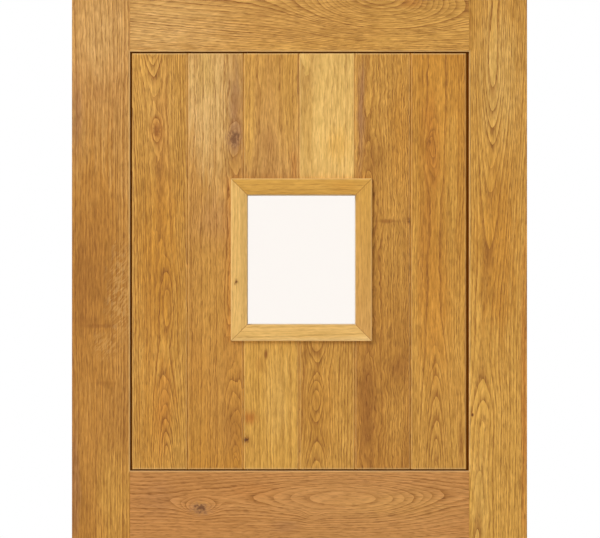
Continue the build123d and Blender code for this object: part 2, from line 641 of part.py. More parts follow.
def flap(height, on_leaf):
    """One flap of a butt hinge with its knuckles: the even ones on the frame, the odd on the leaf."""
    low, high, face = flap_faces(on_leaf)
    made = block(AXIS_X + BARREL_RADIUS + BARREL_CLEARANCE, AXIS_X + FLAP_REACH, low, high,
                 height - HINGE_LENGTH / 2, height + HINGE_LENGTH / 2)
    for foot, head in knuckle_spans(height)[1 if on_leaf else 0::2]:
        made += rod_along_z(BARREL_RADIUS, AXIS_X, AXIS_Y, foot, head)
        made += block(AXIS_X, AXIS_X + BARREL_RADIUS + BARREL_CLEARANCE + 1, low, high, foot, head)
    made -= rod_along_z(PIN_RADIUS + PIN_PLAY, AXIS_X, AXIS_Y,
                        height - HINGE_LENGTH, height + HINGE_LENGTH)
    return drive_in(flap_screw_places(height, on_leaf), made)


def hinge_pin(height):
    """A hinge's pin, with a button at each end."""
    half = HINGE_LENGTH / 2
    made = rod_along_z(PIN_RADIUS, AXIS_X, AXIS_Y, height - half, height + half)
    for side in (-1, 1):
        ends = sorted((height + side * half, height + side * (half + PIN_HEAD_HEIGHT)))
        made += rod_along_z(PIN_HEAD_RADIUS, AXIS_X, AXIS_Y, *ends)
    rims = [edge for edge in made.edges().filter_by(GeomType.CIRCLE)
            if abs(abs(edge.center().Z - height) - half - PIN_HEAD_HEIGHT) < 0.01]
    return chamfer(rims, PIN_HEAD_HEIGHT / 3)


def leaf_housing(height):
    """What is cut from a leaf's back for a flap, and for the barrel at its edge."""
    low, high = height - HINGE_LENGTH / 2 - HOUSING_PLAY, height + HINGE_LENGTH / 2 + HOUSING_PLAY
    room = BARREL_RADIUS + BARREL_CLEARANCE
    recess = block(-LEAF_HALF - CUTTER_EXTRA, AXIS_X + FLAP_REACH + HOUSING_PLAY,
                   flap_faces(True)[0], CUTTER_EXTRA, low, high)
    return recess + block(-LEAF_HALF - CUTTER_EXTRA, AXIS_X + room, AXIS_Y - room, CUTTER_EXTRA,
                          low - PIN_HEAD_HEIGHT, high + PIN_HEAD_HEIGHT)


def jamb_housing(height):
    """What is cut from the hinge jamb's face for a flap."""
    low, high = height - HINGE_LENGTH / 2 - HOUSING_PLAY, height + HINGE_LENGTH / 2 + HOUSING_PLAY
    return block(-FRAME_HALF - CUTTER_EXTRA, AXIS_X + FLAP_REACH + HOUSING_PLAY,
                 FRAME_FACE - CUTTER_EXTRA, flap_faces(False)[1], low, high)


# Sliding bolts, lying along +X from the tail, with the leaf's back at y zero
def arch(x0, x1, hole):
    """A guide or keep that a rod slides through: a rounded block with a hole."""
    outside = ROD_RADIUS + GUIDE_WALL
    made = block(x0, x1, 0, ROD_HEIGHT, -outside, outside)
    made += rod_along_x(outside, x0, x1, ROD_HEIGHT, 0)
    return made - rod_along_x(hole, x0 - CUTTER_EXTRA, x1 + CUTTER_EXTRA, ROD_HEIGHT, 0)


def bolt_screw_places():
    """Where the four screws of a bolt's plate go."""
    across = BOLT_WIDTH / 2 - SCREW_HEAD_RADIUS - 1.5
    return [Pos(x, BOLT_PLATE_THICK, z) * Rot(180, 0, 0)
            for x in (BOLT_SCREW_PLACE, BOLT_LENGTH - BOLT_SCREW_PLACE) for z in (-across, across)]


def bolt_plate():
    """A bolt's back plate with its two guides."""
    made = block(0, BOLT_LENGTH, 0, BOLT_PLATE_THICK, -BOLT_WIDTH / 2, BOLT_WIDTH / 2)
    made = fillet(made.edges().filter_by(Axis.Y), 4)
    for start in (GUIDE_INSET, BOLT_LENGTH - GUIDE_INSET - GUIDE_LENGTH):
        made += arch(start, start + GUIDE_LENGTH, ROD_RADIUS + ROD_PLAY)
    return drive_in(bolt_screw_places(), made)


def bolt_rod():
    """A bolt's sliding rod with its knob."""
    made = rod_along_x(ROD_RADIUS, -ROD_TAIL, BOLT_LENGTH, ROD_HEIGHT, 0)
    tips = made.edges().filter_by(GeomType.CIRCLE)
    made = chamfer(tips, 1)
    stem = Pos(KNOB_PLACE, (ROD_HEIGHT + KNOB_HEIGHT) / 2, 0) * Rot(90, 0, 0) * Cylinder(
        KNOB_STEM_RADIUS, KNOB_HEIGHT - ROD_HEIGHT)
    return made + stem + Pos(KNOB_PLACE, KNOB_HEIGHT, 0) * Sphere(KNOB_RADIUS)


def keep_screw_places():
    """Where the two screws of the keep go."""
    across = KEEP_WIDTH / 2 - SCREW_HEAD_RADIUS - 1.5
    return [Pos(KEEP_LENGTH / 2, BOLT_PLATE_THICK, z) * Rot(180, 0, 0) for z in (-across, across)]


def keep():
    """The keep on the bottom leaf that the tie bolt shoots into."""
    made = block(0, KEEP_LENGTH, 0, BOLT_PLATE_THICK, -KEEP_WIDTH / 2, KEEP_WIDTH / 2)
    made = fillet(made.edges().filter_by(Axis.Y), 4)
    made += arch(0, KEEP_LENGTH, ROD_RADIUS + KEEP_HOLE_PLAY)
    return drive_in(keep_screw_places(), made)


BOTTOM_BOLT_HEIGHT = BOTTOM_LEAF_HEAD - LOWER_MEETING_RAIL_HEIGHT / 2
BOTTOM_BOLT_AT = Pos(JAMB_INNER - BOLT_END_SPACE - BOLT_LENGTH, 0, BOTTOM_BOLT_HEIGHT)
TIE_BOLT_FOOT = TOP_LEAF_FOOT + MEETING_FALL + BOLT_END_SPACE
TIE_BOLT_AT = Pos(TIE_BOLT_PLACE, 0, TIE_BOLT_FOOT + BOLT_LENGTH) * Rot(0, 90, 0)
KEEP_AT = Pos(TIE_BOLT_PLACE, 0, BOTTOM_LEAF_HEAD - BOLT_END_SPACE) * Rot(0, 90, 0)


def strike_screw_places():
    """Where the two screws of the strike plate go, into the lock jamb."""
    middle = strike_middle()
    return [Pos(JAMB_INNER, middle, BOTTOM_BOLT_HEIGHT + side * STRIKE_HEIGHT * 0.36) * Rot(0, 0, -90)
            for side in (-1, 1)]


def strike_middle():
    """The y of the strike plate's middle: its edge lies just behind the frame's face."""
    return FRAME_FACE + ARRIS + STRIKE_WIDTH / 2


def strike_box(play):
    """The strike plate's outline in the lock jamb's inner face, or with play its housing."""
    middle = strike_middle()
    start = JAMB_INNER - (CUTTER_EXTRA if play else 0)
    return block(start, JAMB_INNER + BOLT_PLATE_THICK,
                 middle - STRIKE_WIDTH / 2 - play, middle + STRIKE_WIDTH / 2 + play,
                 BOTTOM_BOLT_HEIGHT - STRIKE_HEIGHT / 2 - play,
                 BOTTOM_BOLT_HEIGHT + STRIKE_HEIGHT / 2 + play)


def strike_hole():
    """The hole that the bottom leaf's bolt shoots into."""
    depth = BOLT_TRAVEL - BOLT_END_SPACE + 2 * KEEP_HOLE_PLAY + 2
    return rod_along_x(ROD_RADIUS + KEEP_HOLE_PLAY, JAMB_INNER - CUTTER_EXTRA, JAMB_INNER + depth,
                       ROD_HEIGHT, BOTTOM_BOLT_HEIGHT)


def strike_plate():
    """The plate let into the lock jamb round that hole."""
    return drive_in(strike_screw_places(), strike_box(0) - strike_hole())


# The assembly
def bottom_leaf():
    """The bottom leaf's wooden pieces by name."""
    foot, head = BOTTOM_LEAF_FOOT, BOTTOM_LEAF_HEAD
    panel_foot, panel_head = foot + BOTTOM_RAIL_HEIGHT, head - LOWER_MEETING_RAIL_HEIGHT
    tenons = tenon_spans(foot, panel_foot, True) + tenon_spans(panel_head, head, False)
    screws = [BOTTOM_BOLT_AT * place for place in bolt_screw_places()]
    screws += [KEEP_AT * place for place in keep_screw_places()]
    hinge_side = stile(-1, foot, head, panel_foot, panel_head, tenons, slope_head=True)
    for height in hinge_heights(foot, head):
        hinge_side = drive_in(flap_screw_places(height, True), hinge_side - leaf_housing(height))
    made = {
        "bottom_leaf_hinge_stile": hinge_side,
        "bottom_leaf_lock_stile": stile(1, foot, head, panel_foot, panel_head, tenons, slope_head=True),
        "bottom_leaf_bottom_rail": rail(foot, panel_foot, twin=True),
        "bottom_leaf_meeting_rail": drive_in(
            screws, rail(panel_head, head, boards_below=True, slope_head=True)),
        "bottom_leaf_brace": brace(panel_foot, panel_head),
    }
    made.update(boards("bottom_leaf", panel_foot, panel_head, glazed=False))
    return made


def top_leaf():
    """The top leaf's wooden pieces and its glazing by name."""
    foot, head = TOP_LEAF_FOOT, TOP_LEAF_HEAD
    panel_foot, panel_head = foot + UPPER_MEETING_RAIL_HEIGHT, head - TOP_RAIL_HEIGHT
    tenons = tenon_spans(foot, panel_foot, False) + tenon_spans(panel_head, head, False)
    hinge_side = stile(-1, foot, head, panel_foot, panel_head, tenons, slope_foot=True)
    for height in hinge_heights(foot, head):
        hinge_side = drive_in(flap_screw_places(height, True), hinge_side - leaf_housing(height))
    meeting_rail = drive_in([TIE_BOLT_AT * place for place in bolt_screw_places()],
                            rail(foot, panel_foot, slope_foot=True))
    top_rail = rail(panel_head, head, boards_below=True)
    for cutter in trimmer_sockets(panel_foot, -1):
        meeting_rail -= cutter
    for cutter in trimmer_sockets(panel_head, 1):
        top_rail -= cutter
    made = {
        "top_leaf_hinge_stile": hinge_side,
        "top_leaf_lock_stile": stile(1, foot, head, panel_foot, panel_head, tenons, slope_foot=True),
        "top_leaf_top_rail": top_rail,
        "top_leaf_meeting_rail": meeting_rail,
    }
    made.update(boards("top_leaf", panel_foot, panel_head, glazed=True))
    made.update(trimmers(panel_foot, panel_head))
    made.update(glazing())
    made.update(bead_ring("outer", BOARD_FRONT, -1, FRONT_BEAD_PROUD,
                          UNIT_FRONT - TAPE_THICK - BOARD_FRONT))
    made.update(bead_ring("inner", 0, 1, BACK_BEAD_PROUD, -UNIT_BACK - TAPE_THICK))
    return made


def frame():
    """The frame's pieces by name."""
    hinge_jamb = jamb(-1)
    for height in all_hinge_heights():
        hinge_jamb = drive_in(flap_screw_places(height, False), hinge_jamb - jamb_housing(height))
    lock_jamb = jamb(1) - strike_box(HOUSING_PLAY) - strike_hole()
    return {
        "frame_hinge_jamb": hinge_jamb,
        "frame_lock_jamb": drive_in(strike_screw_places(), lock_jamb),
        "frame_head": frame_head(),
        "frame_sill": sill(),
        "frame_weather_seal": weather_seal(),
        "frame_strike_plate": strike_plate(),
    }


def bottom_hinge_heights():
    """The middles of the bottom leaf's hinges."""
    return hinge_heights(BOTTOM_LEAF_FOOT, BOTTOM_LEAF_HEAD)


def top_hinge_heights():
    """The middles of the top leaf's hinges."""
    return hinge_heights(TOP_LEAF_FOOT, TOP_LEAF_HEAD)


def all_hinge_heights():
    """The middles of the four hinges, from the lowest."""
    return *bottom_hinge_heights(), *top_hinge_heights()


def hardware():
    """The hinges, bolts and screws by name. Like pieces on one body share a name."""
    def flaps(heights, on_leaf):
        return Compound([solid_of(flap(height, on_leaf)) for height in heights])

    def screws(places):
        return Compound([solid_of(place * screw()) for place in places])

    bottom, top = bottom_hinge_heights(), top_hinge_heights()
    frame_places = [place for height in all_hinge_heights() for place in flap_screw_places(height, False)]
    bottom_places = [place for height in bottom for place in flap_screw_places(height, True)]
    bottom_places += [BOTTOM_BOLT_AT * place for place in bolt_screw_places()]
    bottom_places += [KEEP_AT * place for place in keep_screw_places()]
    top_places = [place for height in top for place in flap_screw_places(height, True)]
    top_places += [TIE_BOLT_AT * place for place in bolt_screw_places()]
    return {
        "bottom_hinges_frame_flaps": flaps(bottom, False),
        "bottom_hinges_leaf_flaps": flaps(bottom, True),
        "top_hinges_frame_flaps": flaps(top, False),
        "top_hinges_leaf_flaps": flaps(top, True),
        "hinge_pins": Compound([solid_of(hinge_pin(height)) for height in all_hinge_heights()]),
        "frame_screws": screws(frame_places + strike_screw_places()),
        "bottom_leaf_screws": screws(bottom_places),
        "top_leaf_screws": screws(top_places),
        "bottom_bolt_plate": BOTTOM_BOLT_AT * bolt_plate(),
        "bottom_bolt_rod": BOTTOM_BOLT_AT * bolt_rod(),
        "tie_bolt_plate": TIE_BOLT_AT * bolt_plate(),
        "tie_bolt_rod": TIE_BOLT_AT * bolt_rod(),
        "tie_bolt_keep": KEEP_AT * keep(),
    }


def main():
    """Builds every piece and writes one file for each."""
    pieces = {**frame(), **bottom_leaf(), **top_leaf(), **hardware()}
    os.makedirs("parts", exist_ok=True)
    for name, piece in pieces.items():
        export_step(solid_of(piece), f"parts/{name}.step")


main()
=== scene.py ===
import json
import math
from functools import partial

import bmesh
import bpy
from mathutils import Matrix, Vector


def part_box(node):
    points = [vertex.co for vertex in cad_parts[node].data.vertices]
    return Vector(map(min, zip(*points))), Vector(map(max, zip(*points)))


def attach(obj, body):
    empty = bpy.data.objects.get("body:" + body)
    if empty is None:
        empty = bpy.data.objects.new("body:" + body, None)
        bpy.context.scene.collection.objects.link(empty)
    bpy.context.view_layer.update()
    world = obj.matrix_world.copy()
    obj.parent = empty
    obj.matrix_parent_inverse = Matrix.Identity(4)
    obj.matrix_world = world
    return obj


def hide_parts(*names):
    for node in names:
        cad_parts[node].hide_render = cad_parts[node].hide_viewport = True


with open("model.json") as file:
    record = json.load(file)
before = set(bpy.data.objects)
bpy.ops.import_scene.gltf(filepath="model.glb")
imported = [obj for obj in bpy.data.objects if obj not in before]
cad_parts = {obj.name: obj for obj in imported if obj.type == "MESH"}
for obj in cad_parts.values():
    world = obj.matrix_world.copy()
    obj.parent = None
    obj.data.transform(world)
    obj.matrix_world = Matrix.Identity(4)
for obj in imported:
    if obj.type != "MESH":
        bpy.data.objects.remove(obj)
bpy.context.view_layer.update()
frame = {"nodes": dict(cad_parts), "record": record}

bl_info = {
    "name": "Stable door finish",
    "version": (1, 0, 0),
    "blender": (4, 5, 0),
    "location": "View3D > Sidebar > Stable door",
    "description": "Oiled oak, double glazing, ironmongery and a plain studio for an oak stable door",
    "category": "Object",
}

MM = 0.001
NODES = frame["nodes"]
SLOTS = {part["node"]: part["material_slot"] for part in frame["record"]["subparts"]}

# The panel opening of each leaf, and the depth of the framing's outside face
HINGE_STILE, LOCK_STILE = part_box("top_leaf_hinge_stile"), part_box("top_leaf_lock_stile")
FACE_Y = HINGE_STILE[0].y
LEAF_HEAD, LEAF_FOOT = HINGE_STILE[1].z, HINGE_STILE[0].z
TOP_PANEL = (HINGE_STILE[1].x, LOCK_STILE[0].x,
             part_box("top_leaf_meeting_rail")[1].z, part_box("top_leaf_top_rail")[0].z)
BOTTOM_PANEL = (HINGE_STILE[1].x, LOCK_STILE[0].x,
                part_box("bottom_leaf_bottom_rail")[1].z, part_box("bottom_leaf_meeting_rail")[0].z)

# The open joints of a panel as insets from its left, right, foot and head, and a board's tongue,
# in millimetres
JOINTS = (3.4, -4.8, 2.6, -3.0)
TONGUE = 7.0

# How each piece that shows was sawn out of its tree. Places are millimetres in the door's own
# frame, to the right of its middle and up from the sill's foot, and half sizes go the same way.
#   grain    its slant from upright in degrees, where it isn't upright
#   tones    the oak tones at the foot and the head, or at the left and right end
#   heart    the tree's heart: its place across the piece, and its depth behind the face
#   ring     width of a year's growth
#   swells   bends of the trunk: place, half sizes, and how far it swells forward
#   knots    place, radius, darkness and the tone round it
#   stains   place, half sizes, tone and strength
#   silver   patches of ray fleck: place, half sizes and strength
#   lean     how far the heart moves to the right and forwards, to a metre along the grain
#   crinkle  how curly the fibres are, where 1 is usual
#   bold     how strongly the years' lines and the pores show, where 1 is usual
#   figure   how strongly the streaks and fibres show, where 1 is usual
SAWN = {
    "top_leaf_hinge_stile": dict(
        tones=("toffee", "ash"), heart=(-456, 1537, 34), ring=5.5,
        swells=[(-367, 1906, 55, 101, 11), (-360, 1243, 55, 92, 11)],
        stains=[(-371, 1847, 18, 15, "chestnut", 0.3), (-410, 1795, 11, 92, "plum", 0.6),
                (-371, 1534, 55, 230, "amber", 0.85), (-397, 1501, 74, 239, "toffee", 0.8),
                (-382, 1501, 55, 203, "chestnut", 0.34), (-375, 1906, 74, 129, "blush", 0.3),
                (-397, 1206, 55, 92, "toffee", 0.5), (-375, 1381, 41, 74, "toffee", 0.6),
                (-413, 1132, 9, 129, "plum", 0.5), (-341, 1096, 33, 110, "straw", 0.6),
                (-364, 1950, 48, 85, "fleck", 0.4), (-400, 1464, 15, 110, "chestnut", 0.3),
                (-367, 1416, 41, 4, "chestnut", 0.55), (-389, 1427, 26, 9, "chestnut", 0.3),
                (-360, 1311, 24, 6, "toffee", 0.7), (-360, 1311, 15, 4, "chestnut", 0.4),
                (-419, 1243, 9, 240, "chestnut", 0.4)],
        silver=[(-332, 1479, 24, 92, 0.26), (-356, 1381, 26, 29, 0.18)],
        bold=0.9),
    "top_leaf_lock_stile": dict(
        tones=("straw", "honey"), heart=(343, 1521, 48), ring=3.5,
        swells=[(358, 2108, 110, 350, 27), (351, 1887, 33, 110, 9), (388, 930, 110, 405, 22),
                (351, 1243, 26, 66, 7)],
        knots=[(319, 1252, 1.4, 1.0, "chestnut")],
        stains=[(369, 1471, 11, 26, "chestnut", 0.4), (413, 1280, 7, 313, "rust", 0.6),
                (364, 1556, 41, 184, "amber", 0.9), (332, 1096, 18, 110, "wheat", 0.3),
                (365, 1887, 41, 129, "wheat", 0.6)],
        lean=(35, 0), crinkle=0.5),
    "top_leaf_top_rail": dict(
        grain=90, tones=("ash", "honey"), heart=(1, 2027, 72), ring=3.4,
        swells=[(150, 2016, 120, 85, 52)],
        stains=[(207, 2009, 26, 9, "rust", 0.5), (-257, 1968, 129, 55, "fleck", 0.4),
                (222, 1961, 110, 48, "straw", 0.4), (-69, 1990, 18, 9, "chestnut", 0.3),
                (56, 1935, 166, 13, "straw", 0.35), (250, 1970, 110, 60, "fleck", 0.08)],
        lean=(65, 0), crinkle=0.6, bold=1.1),
    "top_leaf_meeting_rail": dict(
        grain=90, tones=("blush", "blush"), heart=(1, 1097, 40), ring=3.6,
        swells=[(97, 1099, 118, 74, 18), (25, 1062, 17, 15, 9), (-183, 1079, 29, 18, 8),
                (314, 1059, 110, 44, -14), (-294, 1132, 92, 37, -8)],
        knots=[(-183, 1079, 6.6, 0.75, "plum")],
        stains=[(-183, 1079, 17, 11, "straw", 0.5), (-25, 1046, 26, 11, "plum", 0.35),
                (-82, 1110, 55, 18, "rust", 0.25), (185, 1086, 110, 26, "straw", 0.2),
                (-257, 1096, 37, 37, "plum", 0.2), (110, 1080, 230, 90, "fleck", 0.13)],
        crinkle=0.6, figure=0.52),
    "top_leaf_board_1": dict(
        tones=("honey", "honey"), heart=(-253, 1556, 34), ring=3.8,
        swells=[(-270, 2010, 22, 90, 32), (-246, 1096, 33, 184, 35), (-242, 1464, 11, 63, 11)],
        knots=[(-262, 1777, 8.0, 0.35, "rust")],
        stains=[(-253, 1703, 17, 175, "rust", 0.35), (-220, 1804, 13, 101, "straw", 0.5),
                (-242, 1464, 6, 48, "chestnut", 0.6), (-260, 1528, 44, 203, "amber", 1.0),
                (-260, 1243, 44, 110, "amber", 0.7), (-248, 1258, 18, 92, "rust", 0.35),
                (-227, 1197, 22, 55, "straw", 0.45), (-275, 1409, 18, 110, "toffee", 0.4),
                (-255, 1800, 40, 130, "fleck", 0.12)],
        lean=(-30, 0), bold=1.1),
    "top_leaf_board_2": dict(
        tones=("amber", "ash"), heart=(-117, 1537, 34), ring=3.9,
        swells=[(-113, 1121, 22, 110, 30), (-121, 1372, 15, 48, -8)],
        knots=[(-119, 1762, 9.2, 0.6, "plum")],
        stains=[(-168, 1850, 55, 129, "fleck", 0.95), (-176, 1887, 26, 63, "wheat", 0.6),
                (-119, 1810, 11, 88, "plum", 0.6), (-157, 1607, 37, 48, "plum", 0.3),
                (-165, 1482, 41, 110, "honey", 0.6), (-119, 1224, 22, 59, "chestnut", 0.4),
                (-190, 1224, 15, 74, "straw", 0.3), (-150, 1745, 28, 110, "fleck", 0.3),
                (-150, 1240, 30, 120, "fleck", 0.08)],
        crinkle=1.7, bold=0.95, figure=0.8),
    "top_leaf_board_3_upper": dict(
        tones=("ash", "honey"), heart=(-58, 1648, 75), ring=4.2,
        stains=[(-93, 1786, 13, 83, "straw", 0.6), (-23, 1832, 17, 101, "straw", 0.4),
                (-58, 1755, 17, 26, "chestnut", 0.3), (-10, 1718, 7, 29, "rust", 0.4),
                (-58, 1800, 30, 150, "plum", 0.12)],
        figure=0.85),
    "top_leaf_board_3_lower": dict(
        tones=("straw", "straw"), heart=(12, 1280, 60), ring=4.7,
        knots=[(-98, 1206, 3.2, 0.9, "chestnut")],
        stains=[(-58, 1364, 4, 9, "chestnut", 0.95), (-71, 1344, 11, 15, "toffee", 0.5),
                (-91, 1247, 13, 13, "rust", 0.8), (-36, 1280, 26, 92, "wheat", 0.3),
                (-91, 1188, 18, 37, "honey", 0.5)],
        crinkle=1.2, bold=0.65, figure=0.85),
    "top_leaf_board_4_upper": dict(
        tones=("wheat", "wheat"), heart=(19, 1464, 100), ring=4.7,
        stains=[(71, 1749, 26, 33, "straw", 0.6), (12, 1814, 11, 110, "honey", 0.35)],
        bold=0.45, crinkle=1.2, figure=0.85),
    "top_leaf_board_4_lower": dict(
        tones=("honey", "honey"), heart=(30, 1280, 40), ring=3.9,
        swells=[(29, 1280, 15, 37, 19), (34, 1114, 26, 85, 24), (30, 1390, 37, 37, 11)],
        stains=[(78, 1243, 18, 81, "straw", 0.4), (34, 1261, 41, 110, "amber", 0.5),
                (6, 1307, 6, 110, "chestnut", 0.35), (23, 1368, 18, 13, "chestnut", 0.3)]),
    "top_leaf_board_5": dict(
        tones=("toffee", "honey"), heart=(130, 1537, 30), ring=3.9,
        swells=[(122, 1906, 18, 110, 11), (126, 1648, 18, 74, 14), (122, 1280, 17, 110, 12)],
        knots=[(203, 1609, 2.9, 0.9, "chestnut")],
        stains=[(113, 1810, 9, 122, "plum", 0.7), (134, 1725, 22, 37, "chestnut", 0.4),
                (187, 1777, 18, 129, "amber", 0.6), (170, 1582, 26, 114, "honey", 0.6),
                (181, 1339, 17, 28, "chestnut", 0.5), (122, 1261, 18, 110, "chestnut", 0.6),
                (163, 1609, 26, 4, "chestnut", 0.7), (178, 1235, 24, 80, "straw", 0.35)],
        crinkle=2.4, bold=1.15),
    "top_leaf_board_6": dict(
        tones=("honey", "amber"), heart=(251, 1464, 34), ring=4.2,
        swells=[(255, 1096, 37, 221, 32), (240, 1740, 15, 48, 11)],
        knots=[(237, 1755, 3.7, 0.4, "chestnut")],
        stains=[(240, 1740, 17, 120, "rust", 0.4), (229, 1552, 17, 110, "rust", 0.3),
                (248, 1464, 33, 147, "amber", 0.8), (279, 1648, 11, 175, "straw", 0.6),
                (301, 1202, 6, 48, "chestnut", 0.6), (286, 1206, 9, 48, "straw", 0.5),
                (211, 1537, 6, 368, "straw", 0.4), (292, 1409, 11, 110, "straw", 0.4),
                (250, 1460, 33, 150, "rust", 0.12)]),
    "outer_bead_top": dict(
        grain=90, tones=("straw", "straw"), heart=(1, 1795, 120), ring=3.9,
        stains=[(84, 1672, 29, 11, "amber", 0.4)],
        bold=0.35, figure=0.45),
    "outer_bead_bottom": dict(
        grain=90, tones=("cream", "cream"), heart=(1, 1316, 90), ring=3.9,
        # The pale stain along this bead's lower edge is a painted highlight on its lower arris
        stains=[(12, 1388, 260, 9, "rubbed", 0.4)],
        bold=0.35, figure=0.5),
    "outer_bead_left": dict(
        tones=("cream", "cream"), heart=(-183, 1537, 80), ring=3.9,
        knots=[(-115, 1497, 2.2, 0.85, "chestnut")],
        bold=0.35, figure=0.45),
    "outer_bead_right": dict(
        tones=("ash", "straw"), heart=(222, 1537, 70), ring=3.9, bold=0.4, figure=0.5),
}


def linear(hex_colour):
    """An sRGB hex colour as linear red, green, blue and alpha."""
    channels = [int(hex_colour[i:i + 2], 16) / 255 for i in (1, 3, 5)]
    return [c / 12.92 if c <= 0.04045 else ((c + 0.055) / 1.055) ** 2.4 for c in channels] + [1.0]


def add_node(tree, kind, inputs=(), operation=None, out=0, **settings):
    """Adds a shader node, sets its properties, fills or links its inputs, and returns one output."""
    made = tree.nodes.new("ShaderNode" + kind)
    if operation:
        made.operation = operation
    for name, value in settings.items():
        setattr(made, name, value)
    for key, value in inputs.items() if isinstance(inputs, dict) else enumerate(inputs):
        if isinstance(value, bpy.types.NodeSocket):
            tree.links.new(value, made.inputs[key])
        else:
            made.inputs[key].default_value = value
    return made.outputs[out] if len(made.outputs) else made


def new_material(name):
    """A material with an empty node tree, and the function that adds a node to that tree."""
    material = bpy.data.materials.new(name)
    material.use_nodes = True
    material.node_tree.nodes.clear()
    return material, partial(add_node, material.node_tree)


def dress(node_name, material):
    """Gives a CAD node one material all over."""
    mesh = NODES[node_name].data
    mesh.materials.clear()
    mesh.materials.append(material)


def colour(name, description, hex_colour):
    """A colour that a user would change."""
    return bpy.props.FloatVectorProperty(name=name, description=description, subtype="COLOR", size=4,
                                         min=0.0, max=1.0, default=linear(hex_colour))


def length(name, description, millimetres):
    """A size that a user would change."""
    return bpy.props.FloatProperty(name=name, description=description, unit="LENGTH", min=0.0,
                                   default=millimetres * MM)


def share(name, description, value):
    """A strength from none to full."""
    return bpy.props.FloatProperty(name=name, description=description, subtype="FACTOR", min=0.0,
                                   max=1.0, default=value)


def power(name, description, watts):
    """A lamp's power that a user would change."""
    return bpy.props.FloatProperty(name=name, description=description, unit="POWER", min=0.0,
                                   default=watts)


class StableDoorOak(bpy.types.PropertyGroup):
    """Colours and grain sizes of the oak."""
    cream: colour("Cream", "Palest oak, picked for the beads", "#EABB6B")
    wheat: colour("Wheat", "Palest sapwood side of a board", "#E4B766")
    straw: colour("Straw", "Pale yellow oak", "#DAA44A")
    honey: colour("Honey", "Usual oiled oak", "#D29B46")
    ash: colour("Ash", "Greyer oak with little oil taken up", "#CF9B53")
    amber: colour("Amber", "Oak that took the oil well", "#CB8D34")
    toffee: colour("Toffee", "Brown heartwood", "#BF8436")
    blush: colour("Blush", "Pinkish oak", "#C98C4C")
    chestnut: colour("Chestnut", "Dark growth round old branches", "#8F5620")
    rust: colour("Rust", "Orange streaks of mineral stain", "#BC6F26")
    plum: colour("Plum", "Purplish brown streaks beside knots", "#A0714F")
    ring_brown: colour("Spring wood", "The porous line that starts each year", "#985F24")
    pore_brown: colour("Pores", "Open pores that hold the oil", "#703F17")
    fleck: colour("Ray fleck", "Silver grain where the saw met the rays", "#E6BA74")
    knot: colour("Knot", "Heart of a knot", "#5C3318")
    # The joint tone is painted shade in the recessed joints, together with the dust that gathers there
    joint_shade_and_dust_tone: colour("Joint shade and dust", "Painted shade and dust in the panel's joints", "#7C3A00")
    # The arris highlight is painted: a pale band along the arrises that stands for the light they catch
    arris_highlight_width: length("Arris highlight width", "How far the painted highlight reaches from an arris", 3.4)
    arris_highlight_strength: share("Arris highlight strength", "How pale the painted arris highlight is", 0.45)
    rubbed: colour("Arris highlight", "Painted highlight where arrises catch the light", "#F8D290")
    pore_width: length("Pore width", "Drawn wider than the real 0.3 mm, so that pores show", 1.9)
    pore_length: length("Pore length", "Length of one pore's scratch", 15.0)
    fibre_width: length("Fibre width", "Width of the fine light and dark fibres", 2.6)
    gloss: share("Roughness", "Roughness of the oiled face", 0.5)
    shine: share("Shine", "Specular level of hardwax oil", 0.22)
    pore_depth: length("Pore depth", "Depth of the pores", 0.3)


class StableDoorGlazing(bpy.types.PropertyGroup):
    """Colours and sizes of the light."""
    glass: colour("Glass", "Tint of a 4 mm pane", "#FEFBF8")
    spacer: colour("Spacer", "Anodised aluminium spacer bar", "#A2A4A0")
    holes: colour("Breathing holes", "Holes over the spacer bar's drying beads", "#3A3A38")
    tape: colour("Tape", "Butyl glazing tape", "#4A4A46")
    block: colour("Setting block", "Nylon setting blocks", "#2C2C2C")
    sealant: colour("Sealant", "Translucent silicone", "#F3D3A0")
    seal: colour("Weather seal", "Rubber weather seal", "#26241F")
    sealant_width: length("Sealant width", "Sealant that shows round the glass", 1.3)


class StableDoorIronmongery(bpy.types.PropertyGroup):
    """Colours and sizes of the hinges, bolts and screws."""
    steel: colour("Steel", "Satin stainless steel", "#B9B7B2")
    recess_width: length("Recess width", "Width of the cross recess in a screw's head", 1.1)
    recess_depth: length("Recess depth", "Depth of the cross recess", 1.6)
    brush: length("Brushing", "Drawn wider than the real 0.05 mm scratches, so that they show", 0.8)


class StableDoorStudio(bpy.types.PropertyGroup):
    """The plain studio round the door."""
    floor: colour("Floor", "Pale floor", "#ECEBE8")
    distance: length("Camera distance", "From the camera to the leaf's face", 4600.0)
    view_width: length("View width", "Width of the leaf's plane that the picture takes in", 1104.5)
    camera_x: bpy.props.FloatProperty(name="Camera x", description="Camera to the right of the middle",
                                      unit="LENGTH", default=0.0009)
    key: power("Key", "Soft light from the upper left", 268.0)
    fill: power("Fill", "Soft light from the right", 16.0)
    back: power("Back", "Soft light behind the door", 60.0)


